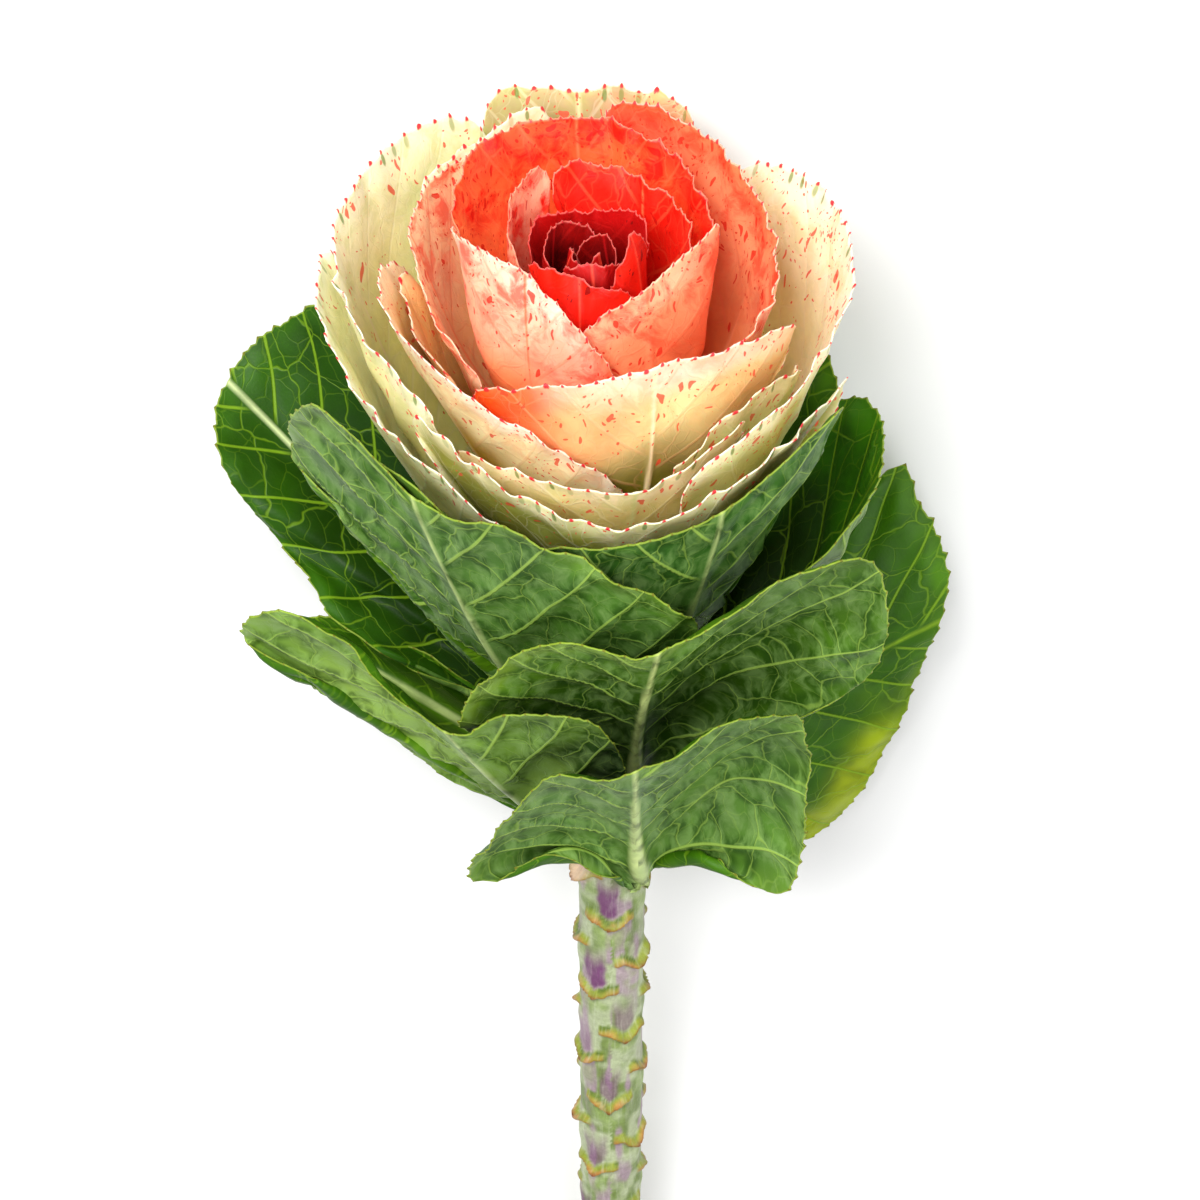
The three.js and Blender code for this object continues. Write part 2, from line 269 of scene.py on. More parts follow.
def leaf_fan(foot, rim, tooth, per_tooth, rows, cup=0.15, arch=0.0, foot_width=GREEN_FOOT):
    """The fan's points and charts as arrays of (column, row).

    cup is how deep the blade bows and arch how high its halves arch beside the midrib, both as a
    rough share of a ray's length.
    """
    azimuth, height = foot
    foot_place = np.array([azimuth, float(stem_radius(height)) + LEAF_GAP + GREEN_THICKNESS / 2, height])
    centre = standing(foot_place)
    a = math.radians(azimuth)
    sideways = np.array([math.cos(a), math.sin(a), 0])
    outward = unit(np.array([math.sin(a), -math.cos(a), OUTWARD_DROP]))
    # The flanks' own places in the rim are worked out from its two ends.
    near = foot_place + [0, FLANK_RISE, FLANK_RISE]
    flanks = [near + FLANK_REACH * (np.array(end, float) - near) for end in (rim[0], rim[-1])]
    for side, flank in zip((-1, 1), flanks):
        flank[0] += side * math.degrees(FLANK_SPREAD * foot_width / flank[1])
    line, along = rim_line([flanks[0], *rim, flanks[1]])
    tip = along[len(along) // 2]

    sides = [max(3, round(length / tooth)) * per_tooth for length in (tip, along[-1] - tip)]
    u = np.concatenate([np.linspace(-1, 0, sides[0] + 1)[:-1], np.linspace(0, 1, sides[1] + 1)])
    v = 1 - (1 + ROOTED) * (1 - np.linspace(0, 1, rows + 1)) ** ROW_CROWDING

    def rim_at(u):
        s = np.clip(np.where(u < 0, tip * (1 + u), tip + (along[-1] - tip) * u), 0, along[-1])
        return np.stack([np.interp(s, along, line[:, k]) for k in range(3)], -1)

    start = centre + sideways * (foot_width * u)[:, None]
    ray = rim_at(u) - start
    length = np.linalg.norm(ray, axis=1)
    way = ray / length[:, None]
    across = unit(rim_at(u + BOW_STEP) - rim_at(u - BOW_STEP))
    bow = unit(np.cross(across, way) + BOW_OUTWARD * outward)
    depth = np.outer(length * cup * 4 * (1 - u**4), v * (1 - v) * (1 - FLARE * v))
    points = start[:, None] + ray[:, None] * v[None, :, None] + bow[:, None] * depth[:, :, None]
    points[:, :, 2] += np.outer(length * arch * 4 * u**2 * (1 - u**2), 4 * v * (1 - v))

    turns = np.arccos(np.clip((way[1:] * way[:-1]).sum(1), -1, 1))
    spread = np.concatenate([[0], np.cumsum(turns)])
    spread -= spread[sides[0]]
    return {
        "points": points, "u": u, "v": v, "way": way, "length": length,
        "teeth": np.arange(len(u)) / per_tooth,
        "x": (foot_width * u)[:, None] + np.outer(length * np.sin(spread), v),
        "y": np.outer(length * np.cos(spread), v),
        "rim": np.where(u < 0, tip * (1 + u), tip + (along[-1] - tip) * u),
        "inset": np.outer(length, 1 - v),
    }


fan = leaf_fan([0, 40], [[-40, 40, 100], [0, 50, 130], [40, 40, 100]], 4.5, 6, 40)
print("a fan of", fan["points"].shape[:2], "points, chart", round(float(np.ptp(fan["x"]))), "mm wide")

# %% [markdown]
# A kale leaf has a thick midrib that stands proud of its outer face, and side veins that leave it
# at a wide angle near the foot and at a sharp one near the tip. Between them the blade bulges like
# a quilt. The side veins are counted by one number over the chart, which is whole on each vein.
# The same number shapes the relief here and draws the vein lines in the finish later.

# %% Side veins over the chart
VEIN_LEAN = 0.3  # rise of the lowest side veins over their run
VEIN_FAN = 1.1  # how much steeper they get by the tip
VEIN_CURL = 0.004  # upward curve, per millimetre


def vein_count(x, y, reach, spacing):
    """Whole numbers on side veins, and halves midway between them."""
    out = np.abs(x)
    root = (y - VEIN_LEAN * out - VEIN_CURL * out**2) / (1 + VEIN_FAN * out / reach)
    wander = 1.6 * lumps(x, y, 16, 3) + 0.12 * spacing * lumps(root, 0 * root, spacing * 1.7, 8)
    return (root + wander) / spacing + 0.5 * (x < 0)


def veins_over(x, y, reach, spacing):
    """The count, and how many millimetres one step of it is at each place."""
    count = vein_count(x, y, reach, spacing)
    nudge = 0.2
    across = vein_count(x + np.where(x < 0, -nudge, nudge), y, reach, spacing) - count
    upward = vein_count(x, y + nudge, reach, spacing) - count
    return count, nudge / np.maximum(np.hypot(across, upward), 1e-3)


print("side vein count at (0, 30):", round(float(vein_count(np.array(0.0), np.array(30.0), 100, 12)), 2))

# %% [markdown]
# Relief is given to both skins at once. The middle of the blade ruffles near the rim and quilts
# between the veins, and teeth lengthen its rays at the rim. Its two skins then stand half a
# thickness to each side. The outer one carries the midrib and the side veins.

# %% Relief of a blade
VEIN_STRIP = 2.4  # half width of the strip along a side vein that doesn't bulge
VEIN_HALF = 1.5  # half width of a side vein's own relief
SIDE_SHARE = 0.25  # height of a side vein, of the midrib's
CALM_RIM = 6.0  # width of the strip along the rim where side veins fade
TOOTH_ROOT = 1.6  # how far behind the rim a tooth still stretches the blade
TOOTH_WIDTH = 0.17  # half width of a tooth's point, of the way from tooth to tooth
RIM_SHARE = 0.45  # thickness at the rim, of the blade's


def skin_normals(points):
    """Which way the outer side faces at each of a grid of points."""
    du, dv = np.gradient(points, axis=0), np.gradient(points, axis=1)
    return unit(np.cross(du, dv))


def blade_skins(fan, look):
    """Inner and outer skin of a leaf, with its ruffles, veins and teeth."""
    x, y, inset, v, seed = fan["x"], fan["y"], fan["inset"], fan["v"][None, :], look["seed"]
    reach = float(fan["length"][np.argmin(np.abs(fan["u"]))])
    count, step = veins_over(x, y, reach, look["spacing"])
    off_vein = np.abs((count + 0.5) % 1 - 0.5) * step
    fade = smooth(inset, 0, CALM_RIM)
    aside = smooth(np.abs(x), 1, 7)  # the blade stays flat beside its midrib

    rim = fan["rim"][:, None] + 0 * v
    ruffle = look["ruffle"] * lumps(rim, 0 * rim, look["ruffle_size"], seed)
    ruffle = ruffle * np.exp(-inset / look["ruffle_depth"])
    quilt = -look["quilt"] * (1 - np.exp(-((off_vein / VEIN_STRIP) ** 2)))
    quilt = quilt * fade * smooth(v, 0, 0.2) * aside
    pucker = look["pucker"] * (0.6 * lumps(x, y, 6, seed + 1) + lumps(x, y, 13, seed + 2))
    pucker = pucker * smooth(inset, 0, 4) * smooth(v, 0, 0.25) * (0.3 + 0.7 * aside)
    middle = fan["points"] + skin_normals(fan["points"]) * (ruffle + quilt + pucker)[:, :, None]

    # Teeth of uneven length stand on a rim that is ragged itself.
    phase = fan["teeth"] % 1
    point = np.exp(-(((phase - 0.5) / TOOTH_WIDTH) ** 2)) - 0.25 * np.sin(phase * np.pi)
    uneven = 1 + 0.5 * lumps(fan["teeth"], 0 * phase, 1.3, seed + 4)
    ragged = look["ragged"] * lumps(fan["rim"], 0 * phase, 3.0 * look["ragged"] + 0.1, seed + 5)
    stretch = look["tooth_depth"] * point * uneven + ragged
    tooth = np.outer(stretch, np.exp(-((1 - v[0]) * reach / TOOTH_ROOT)))
    middle = middle + fan["way"][:, None] * tooth[:, :, None]

    normals = skin_normals(middle)
    half = look["thickness"] / 2 * mixed(RIM_SHARE, 1, smooth(inset, 0, 5))
    rib_high = look["rib"] * (1 - v) ** 1.1 + 0.15
    rib_wide = look["rib_width"] * (1 - 0.72 * v)
    rib = rib_high * np.exp(-np.abs(x / rib_wide) ** 2.4)
    side = SIDE_SHARE * look["rib"] * np.exp(-((off_vein / VEIN_HALF) ** 2))
    side = side * (1 - 0.55 * smooth(np.abs(x), 5, 60)) * fade * smooth(np.abs(x), 0, 4)
    outer = middle + normals * (half + rib + side)[:, :, None]
    inner = middle - normals * (half + 0.25 * rib - 0.3 * side)[:, :, None]
    return inner, outer, count, step


print("a blade's relief is ready")

# %% [markdown]
# A leaf is a slab before it is a leaf: a flat grid, extruded to a second skin. Each corner's place
# in the slab says which column, row and skin it is, and one move per corner bends the slab into
# the leaf. So the mesh is closed, its faces are even, and both skins stay in step.

# %% A leaf from a slab


def slab(columns, rows):
    """A closed flat slab, its lower skin at z 0 and its upper one at z 1."""
    bm = bmesh.new()
    bmesh.ops.create_grid(bm, x_segments=columns, y_segments=rows, size=1)
    lifted = bmesh.ops.extrude_face_region(bm, geom=bm.faces[:])["geom"]
    corners = [part for part in lifted if isinstance(part, bmesh.types.BMVert)]
    bmesh.ops.translate(bm, verts=corners, vec=(0, 0, 1))
    bmesh.ops.recalc_face_normals(bm, faces=bm.faces[:])
    mesh = bpy.data.meshes.new("slab")
    bm.to_mesh(mesh)
    bm.free()
    return mesh


def slab_places(mesh, columns, rows):
    """Column, row and skin of each corner of a slab."""
    at = np.empty(len(mesh.vertices) * 3, np.float32)
    mesh.vertices.foreach_get("co", at)
    at = at.reshape(-1, 3)
    column = np.rint((at[:, 0] + 1) / 2 * columns).astype(int)
    row = np.rint((at[:, 1] + 1) / 2 * rows).astype(int)
    return column, row, (at[:, 2] > 0.5).astype(int)


test = slab(6, 3)
print("a 6 by 3 slab has", len(test.vertices), "corners and", len(test.polygons), "faces")
bpy.data.meshes.remove(test)

# %% [markdown]
# The leaf carries what its finish needs: the flat chart as a UV map in millimetres, and three
# attributes. veins holds the side vein count, the millimetres per step of it and which skin this
# is. margin holds the tooth count and the distance from the rim. paint is the pigment, which runs
# from the root over the middle to the edge, and can differ to each side.

# %% Build one leaf
SKINS = ("inside", "inner_rib"), ("outside", "outer_rib")
LOWEST = [[[0.0004]], [[0.0001]]]  # how low a leaf's inner and outer skin may lie, in metres


def pigment(fan, tones, rib, left=None, right=None):
    """Colour over the fan from edge, middle and root tones.

    rib is the midrib's tone and its half width at the root and tip. left and right are a tone that a
    flank has near the rim, and how deep it reaches. Depths are millimetres from the rim, and a
    wobble keeps each change of tone uneven.
    """
    edge, middle, root = (np.array(linear(tone)) for tone in tones)
    wobble = lumps(fan["x"], fan["y"], 9, 6)[:, :, None]
    inset = fan["inset"][:, :, None]
    colour = mixed(edge, middle, smooth(inset + 2.5 * wobble, 1, 9))
    colour = mixed(colour, root, smooth(inset + 5 * wobble, 10, 34))
    u = fan["u"][:, None, None] + 0.12 * wobble
    for flank, outwards in ((left, -u), (right, u)):
        if flank:
            tone, depth = flank
            share = smooth(outwards, 0.0, 0.5) * (1 - smooth(inset + 4 * wobble, 0.2 * depth, depth))
            colour = mixed(colour, np.array(linear(tone)), share)
    tone, root_half, tip_half = rib
    half = tip_half + (root_half - tip_half) * np.clip(1 - fan["v"], 0, 1)[None, :, None] ** 1.5
    share = 1 - smooth(np.abs(fan["x"])[:, :, None] / half, 0.6, 1.4)
    return mixed(colour, np.array(linear(tone)), share)


def both_skins(fan, own):
    """The pigment of a leaf's inner and outer skin, from its entry of tones."""
    flanks = own.get("left"), own.get("right")
    return [pigment(fan, own[side], own[rib], *flanks) for side, rib in SKINS]


def attribute(mesh, name, kind, values):
    """Gives a mesh one value at each corner, for its finish to read."""
    layer = mesh.attributes.new(name, kind, "POINT")
    part = "color" if kind == "FLOAT_COLOR" else "vector"
    layer.data.foreach_set(part, values.astype(np.float32).ravel())


def make_leaf(name, fan, look, paint, flecks, material):
    """A leaf's blade. paint is the pigment of its inner and outer skin, flecks how many it has."""
    inner, outer, count, step = blade_skins(fan, look)
    columns, rows = len(fan["u"]) - 1, len(fan["v"]) - 1
    mesh = slab(columns, rows)
    i, j, skin = slab_places(mesh, columns, rows)
    skins = laid(np.stack([inner, outer]))
    skins[..., 2] = np.maximum(skins[..., 2], LOWEST)
    mesh.vertices.foreach_set("co", skins[skin, i, j].astype(np.float32).ravel())

    paint = np.stack(paint)
    paint[..., 3] = flecks
    attribute(mesh, "veins", "FLOAT_VECTOR", np.stack([count[i, j], step[i, j], skin], 1))
    margin = np.stack([fan["teeth"][i], fan["inset"][i, j], np.zeros(len(i))], 1)
    attribute(mesh, "margin", "FLOAT_VECTOR", margin)
    attribute(mesh, "paint", "FLOAT_COLOR", paint[skin, i, j])
    loops = np.empty(len(mesh.loops), np.int32)
    mesh.loops.foreach_get("vertex_index", loops)
    chart = np.stack([fan["x"][i, j], fan["y"][i, j]], 1)[loops]
    mesh.uv_layers.new(name="chart").data.foreach_set("uv", chart.astype(np.float32).ravel())
    mesh.polygons.foreach_set("use_smooth", np.ones(len(mesh.polygons), bool))
    mesh.update()
    return finished(name, "_blade", mesh, material)


def finished(name, ending, mesh, material):
    """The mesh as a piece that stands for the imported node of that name."""
    mesh.name = name + ending
    piece = bpy.data.objects.new(name + ending, mesh)
    bpy.context.scene.collection.objects.link(piece)
    mesh.materials.append(material)
    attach(piece, "root")
    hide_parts(name)
    return piece


print("leaf builder ready")

# %% [markdown]
# The finish of a leaf starts from a few lines drawn on it: the midrib, the side veins, a net of
# small veins and the line along the rim, each with a real width in millimetres. The veins come
# from the attributes. The net is the edges between Voronoi cells on the chart, bent by a noise so
# that no cell is regular. One function adds these lines to a material and returns them as masks.

# %% The lines drawn on a leaf


def leaf_lines(tree, big_cell, small_cell, bend):
    """Masks from 0 to 1 and measures in millimetres of a leaf's lines, by name."""
    chart = add_node(tree, "UVMap", uv_map="chart")
    veins = add_node(tree, "Attribute", attribute_name="veins").outputs["Vector"]
    margin = add_node(tree, "Attribute", attribute_name="margin").outputs["Vector"]
    count, step, skin = add_node(tree, "SeparateXYZ", {0: veins}).outputs
    teeth, inset, _ = add_node(tree, "SeparateXYZ", {0: margin}).outputs
    across = add_node(tree, "SeparateXYZ", {0: chart}).outputs[0]
    across = add_node(tree, "Math", {0: across}, operation="ABSOLUTE")
    aside = add_node(tree, "MapRange", {"Value": across, "From Min": 0.6, "From Max": 2.6})

    noise = add_node(tree, "TexNoise", {"Vector": chart, "Scale": 0.11, "Detail": 2.0}).outputs["Color"]
    bent = {0: noise, 1: (bend, bend, 0.0), 2: chart}
    bent = add_node(tree, "VectorMath", bent, operation="MULTIPLY_ADD")
    lines = {"chart": chart, "bent": bent, "skin": skin, "inset": inset, "teeth": teeth}
    long_cells = add_node(tree, "Mapping", {"Vector": bent, "Scale": (1.0, 0.7, 1.0)})
    for name, cell, half in (("net", big_cell, 0.17), ("fine_net", small_cell, 0.11)):
        places = {"Vector": long_cells, "Scale": 1 / cell}
        edge = add_node(tree, "TexVoronoi", places, feature="DISTANCE_TO_EDGE", voronoi_dimensions="2D")
        away = add_node(tree, "Math", {0: edge, 1: cell}, operation="MULTIPLY")
        lines[name + "_away"] = away
        line = {"Value": away, "From Min": 1.7 * half, "From Max": 0.4 * half}
        line = add_node(tree, "MapRange", line, interpolation_type="SMOOTHSTEP")
        lines[name] = add_node(tree, "Math", {0: line, 1: aside}, operation="MULTIPLY")

    # The count is whole on a side vein, so its distance to a whole number times the step is in mm.
    away = add_node(tree, "Math", {0: count, 1: 0.5}, operation="PINGPONG")
    away = add_node(tree, "Math", {0: away, 1: step}, operation="MULTIPLY")
    narrowing = {"Value": across, "From Min": 0.0, "From Max": 60.0, "To Min": 0.36, "To Max": 0.15}
    half = add_node(tree, "MapRange", narrowing)
    share = add_node(tree, "Math", {0: away, 1: half}, operation="DIVIDE")
    line = {"Value": share, "From Min": 1.6, "From Max": 0.5}
    line = add_node(tree, "MapRange", line, interpolation_type="SMOOTHSTEP")
    lines["rib_away"] = away
    lines["ribs"] = add_node(tree, "Math", {0: line, 1: aside}, operation="MULTIPLY")
    return lines


def drawn_veins(tree, lines, fine_net, net, ribs):
    """The small veins, the net and the side veins as one mask, each with its own strength."""
    drawn = 0.0
    for name, strength in (("fine_net", fine_net), ("net", net), ("ribs", ribs)):
        faded = add_node(tree, "Math", {0: lines[name], 1: strength}, operation="MULTIPLY")
        drawn = add_node(tree, "Math", {0: drawn, 1: faded}, operation="MAXIMUM")
    return drawn


def tooth_random(tree, lines):
    """A random number from 0 to 1 that is the same all over a tooth."""
    number = add_node(tree, "Math", {0: lines["teeth"]}, operation="FLOOR")
    return add_node(tree, "TexWhiteNoise", {"W": number}, noise_dimensions="1D").outputs["Value"]


def tooth_dots(tree, lines, spacing, radius, inwards, drawn_out=1.0):
    """Dots of uneven size near the rim, one behind each tooth's tip, drawn out inwards."""
    random = tooth_random(tree, lines)
    size = add_node(tree, "MapRange", {"Value": random, "To Min": 0.6 * radius, "To Max": 1.3 * radius})
    phase = add_node(tree, "Math", {0: lines["teeth"], 1: 0.5}, operation="PINGPONG")
    sideways = add_node(tree, "Math", {0: phase, 1: -spacing, 2: 0.5 * spacing}, operation="MULTIPLY_ADD")
    behind = add_node(tree, "Math", {0: lines["inset"], 1: inwards}, operation="SUBTRACT")
    behind = add_node(tree, "Math", {0: behind, 1: drawn_out}, operation="DIVIDE")
    away = add_node(tree, "CombineXYZ", {0: sideways, 1: behind})
    away = add_node(tree, "VectorMath", {0: away}, operation="LENGTH")
    share = add_node(tree, "Math", {0: away, 1: size}, operation="DIVIDE")
    return add_node(tree, "MapRange", {"Value": share, "From Min": 1.25, "From Max": 0.75})


print("leaf lines ready")

# %% [markdown]
# Green kale leaf: a thin firm blade under a coat of natural wax. The wax scatters light, so the
# outer face looks grey-green and satin. Its colour carries painted shade: dark green beside its
# veins where the hollows would be shaded, stronger on the outer face. Pale wax streaks on the outer
# face are partly the real bloom and partly a painted sheen. The inner face has less wax and is a
# deep green, where the veins show as fine yellow-green lines. A small gland darkens each tooth, and
# a thin yellow line follows the rim.

# %% Finish: waxy green leaf


def green_leaf_finish():
    material, shader = new_material("waxy green kale leaf")
    tree = material.node_tree
    lines = leaf_lines(tree, 10.5, 4.6, 7.0)
    skin = lines["skin"]
    paint = add_node(tree, "Attribute", attribute_name="paint")
    cloud = add_node(tree, "TexNoise", {"Vector": lines["chart"], "Scale": 0.07, "Detail": 3.0})
    blade = shaded(tree, paint, cloud, 0.33, 0.67, 0.78, 1.2)

    # Beside each vein the blade is darkened with painted shade, as in a hollow, and the middle of each cell
    # gets pale wax streaks that are partly a painted sheen.
    nearest = add_node(tree, "Math", {0: lines["net_away"], 1: lines["rib_away"]}, operation="MINIMUM")
    beside = {"Value": nearest, "From Min": 2.6, "From Max": 0.5}
    beside = add_node(tree, "MapRange", beside, interpolation_type="SMOOTHSTEP")
    streaky = add_node(tree, "Mapping", {"Vector": lines["bent"], "Scale": (1.0, 0.45, 1.0)})
    streaks = add_node(tree, "TexNoise", {"Vector": streaky, "Scale": 0.3, "Detail": 4.0, "Roughness": 0.6})
    patchy = add_node(tree, "MapRange", {"Value": streaks, "From Min": 0.4, "From Max": 0.6})
    painted_shade = add_node(tree, "Math", {0: beside, 1: patchy}, operation="MULTIPLY")
    amount = add_node(tree, "MapRange", {"Value": skin, "To Min": 0.3, "To Max": 0.68})
    painted_shade = add_node(tree, "Math", {0: painted_shade, 1: amount}, operation="MULTIPLY")
    # Pale streaks on the outer face only: the real wax bloom, and a painted sheen with it.
    wax_and_sheen = add_node(tree, "MapRange", {"Value": streaks, "From Min": 0.56, "From Max": 0.36, "To Max": 0.42})
    wax_and_sheen = add_node(tree, "Math", {0: wax_and_sheen, 1: skin}, operation="MULTIPLY")

    # Veins are yellower on the inner face and paler on the outer one.
    drawn = drawn_veins(tree, lines, 0.14, 0.42, 0.75)
    vein = layered(tree, linear("#7da41e"), [(skin, "#98b84e")])
    rim = {"Value": lines["inset"], "From Min": 0.4, "From Max": 0.15, "To Max": 0.5}
    rim = add_node(tree, "MapRange", rim)
    gland = tooth_dots(tree, lines, GREEN_TOOTH, 0.32, 0.15)
    gland = add_node(tree, "Math", {0: gland, 1: 0.8}, operation="MULTIPLY")
    layers = [(painted_shade, "#1c3d0a"), (wax_and_sheen, "#86a560"), (drawn, vein), (rim, "#9fb03a"), (gland, "#6f6a1c")]
    colour = layered(tree, blade, layers)

    # The lines stand up on the outer face and are grooves in the inner one.
    raised = add_node(tree, "MapRange", {"Value": skin, "To Min": -0.8, "To Max": 1.0})
    grain = add_node(tree, "TexNoise", {"Vector": lines["chart"], "Scale": 1.6, "Detail": 3.0})
    height = add_node(tree, "Math", {0: drawn, 1: raised}, operation="MULTIPLY")
    height = add_node(tree, "Math", {0: grain, 1: 0.15, 2: height}, operation="MULTIPLY_ADD")
    bump = add_node(tree, "Bump", {"Strength": 0.6, "Distance": 0.0005, "Height": height})
    rough = add_node(tree, "MapRange", {"Value": streaks, "To Min": 0.4, "To Max": 0.56})
    feed(tree, shader, {"Base Color": colour, "Normal": bump, "Roughness": rough})
    feed(tree, shader, {"IOR": 1.42, "Specular IOR Level": 0.25})
    return material


GREEN_TOOTH = 4.6  # millimetres from tooth to tooth
green_leaf = green_leaf_finish()
print(green_leaf.name, len(green_leaf.node_tree.nodes), "nodes")

# %% [markdown]
# Coloured kale leaf: the same blade without its green, so it is nearly clear and holds a pigment.
# Light goes in and comes out again, which makes the hollows between leaves glow. A flush spreads in
# blotches from the rim. Short red dashes run along the blade, with smaller dots between them. The
# rim is pale and finely toothed, with a crimson gland at each tooth.

# %% Finish: coloured kale leaf


def coloured_leaf_finish(name, tooth, vein, fleck, flush, rim, blotches, gland, glow, green=0.0):
    """A finish from the tones of the veins, flecks, flush and rim.

    tooth is the way from tooth to tooth, blotches how strong the flush is, gland the radius of the
    red dots, glow the share of light that goes into the blade and green how often a tooth is green.
    """
    material, shader = new_material(name)
    tree = material.node_tree
    lines = leaf_lines(tree, 10.0, 4.0, 9.0)
    inset = lines["inset"]
    paint = add_node(tree, "Attribute", attribute_name="paint")
    cloud = add_node(tree, "TexNoise", {"Vector": lines["bent"], "Scale": 0.16, "Detail": 4.0})
    blade = shaded(tree, paint, cloud, 0.3, 0.7, 0.9, 1.08)

    patches = {"Vector": lines["bent"], "Scale": 0.13, "Detail": 5.0, "Roughness": 0.68}
    patches = add_node(tree, "TexNoise", patches)
    patches = add_node(tree, "MapRange", {"Value": patches, "From Min": 0.46, "From Max": 0.6})
    near_rim = {"Value": inset, "From Min": 30.0, "From Max": 4.0, "To Max": blotches}
    near_rim = add_node(tree, "MapRange", near_rim, interpolation_type="SMOOTHSTEP")
    patches = add_node(tree, "Math", {0: patches, 1: near_rim}, operation="MULTIPLY")
    drawn = drawn_veins(tree, lines, 0.12, 0.2, 0.28)
    layers = [(patches, flush), (drawn, vein)]

    # Dashes and dots sit in the cells of two nets. A cell's random number says whether it has one,
    # and how big it is. The paint's alpha says how thickly a leaf is flecked.
    area = {"Vector": lines["chart"], "Scale": 0.1, "Detail": 3.0, "Roughness": 0.65}
    area = add_node(tree, "TexNoise", area)
    area = add_node(tree, "MapRange", {"Value": area, "From Min": 0.38, "From Max": 0.62, "To Min": 0.15})
    near_rim = {"Value": inset, "From Min": 26.0, "From Max": 4.0, "To Min": 0.1}
    near_rim = add_node(tree, "MapRange", near_rim)
    share = add_node(tree, "Math", {0: area, 1: near_rim}, operation="MULTIPLY")
    share = add_node(tree, "Math", {0: share, 1: paint.outputs["Alpha"]}, operation="MULTIPLY")
    for cell, biggest in (((0.5, 0.2, 1.0), 0.3), ((0.9, 0.7, 1.0), 0.26)):
        places = add_node(tree, "Mapping", {"Vector": lines["bent"], "Scale": cell})
        cells = add_node(tree, "TexVoronoi", {"Vector": places, "Scale": 1.0}, voronoi_dimensions="2D")
        chance = add_node(tree, "SeparateColor", {0: cells.outputs["Color"]})
        chosen = {"Value": chance, "From Min": 0.0, "From Max": share, "To Min": biggest, "To Max": 0.0}
        size = add_node(tree, "MapRange", chosen)
        dash = add_node(tree, "Math", {0: cells.outputs["Distance"], 1: size}, operation="LESS_THAN")
        layers.append((add_node(tree, "Math", {0: dash, 1: 0.85}, operation="MULTIPLY"), fleck))

    edge = add_node(tree, "MapRange", {"Value": inset, "From Min": 0.3, "From Max": 0.1, "To Max": 0.55})
    layers.append((edge, rim))
    if green:
        chance = tooth_random(tree, lines)
        kept = {"Value": chance, "From Min": green, "From Max": 0.5 * green, "To Max": 0.75}
        kept = add_node(tree, "MapRange", kept)
        spot = tooth_dots(tree, lines, tooth, 0.75, 1.6, drawn_out=2.2)
        layers.append((add_node(tree, "Math", {0: kept, 1: spot}, operation="MULTIPLY"), "#4d7a1e"))
    layers.append((tooth_dots(tree, lines, tooth, gland, 0.3), "#cc2430"))
    colour = layered(tree, blade, layers)

    raised = add_node(tree, "MapRange", {"Value": lines["skin"], "To Min": -0.6, "To Max": 1.0})
    grain = add_node(tree, "TexNoise", {"Vector": lines["bent"], "Scale": 0.5, "Detail": 4.0})
    height = add_node(tree, "Math", {0: drawn, 1: raised}, operation="MULTIPLY")
    height = add_node(tree, "Math", {0: grain, 1: 0.6, 2: height}, operation="MULTIPLY_ADD")
    bump = add_node(tree, "Bump", {"Strength": 0.4, "Distance": 0.0006, "Height": height})
    rough = add_node(tree, "MapRange", {"Value": cloud, "To Min": 0.38, "To Max": 0.52})
    feed(tree, shader, {"Base Color": colour, "Normal": bump, "Roughness": rough, "IOR": 1.4})
    feed(tree, shader, {"Subsurface Weight": glow, "Subsurface Scale": 0.002})
    feed(tree, shader, {"Subsurface Radius": (1.0, 0.75, 0.45)})
    return material


TOOTH = {"cream": 3.8, "peach": 3.4, "coral": 2.6, "red": 2.2, "dark": 2.0}
# The tones of veins, flecks, flush and rim, then blotches, gland, glow and, on cream leaves, green.
RECIPES = {
    "cream": ("cream kale leaf", "#f5efcf", "#e4513a", "#b3c065", "#f6ecd2", 0.35, 0.5, 0.35, 0.4),
    "peach": ("peach kale leaf", "#f5b78c", "#ea4a30", "#fb8a4a", "#fbdcc4", 0.3, 0.5, 0.35),
    "coral": ("coral kale leaf", "#f27a55", "#dc2818", "#ec3018", "#fcc4a8", 0.75, 0.36, 0.3),
    "red": ("red kale leaf", "#fb7a4c", "#cc1008", "#e61a0a", "#f98a70", 1.0, 0.24, 0.25),
    "dark": ("dark red kale leaf", "#d41c18", "#7c0808", "#a80806", "#e86a60", 0.5, 0.2, 0.1),
}
leaf_finishes = {
    kind: coloured_leaf_finish(name, TOOTH[kind], *recipe) for kind, (name, *recipe) in RECIPES.items()
}
print("leaf finishes:", [m.name for m in leaf_finishes.values()])

# %% [markdown]
# The green leaves stand below the rosette, in the order in which they leave the stem. Each entry
# gives the foot (azimuth, height), the bow of the blade and the places along the rim, from one
# flank over the tip of the midrib to the other. Tones run from the edge over the middle to the
# root, first for the inner face and then for the outer. A few leaves have tones of their own.

# %% Green leaves
PER_TOOTH = 4  # columns of faces to each tooth
GREEN_LOOK = {
    "spacing": 14.0, "ruffle": 1.3, "ruffle_depth": 8.0, "ruffle_size": 9.0, "quilt": 0.9,
    "pucker": 0.5, "tooth_depth": 0.9, "ragged": 0.5, "thickness": 0.75, "rib": 2.0, "rib_width": 2.2,
}
GREEN_PIGMENT = {
    "inside": ("#3f6d08", "#2f5a02", "#4a740c"),
    "outside": ("#5f8629", "#466c20", "#3f641a"),
    "inner_rib": ("#b3c775", 1.6, 0.3),
    "outer_rib": ("#bfd084", 1.5, 0.35),
}

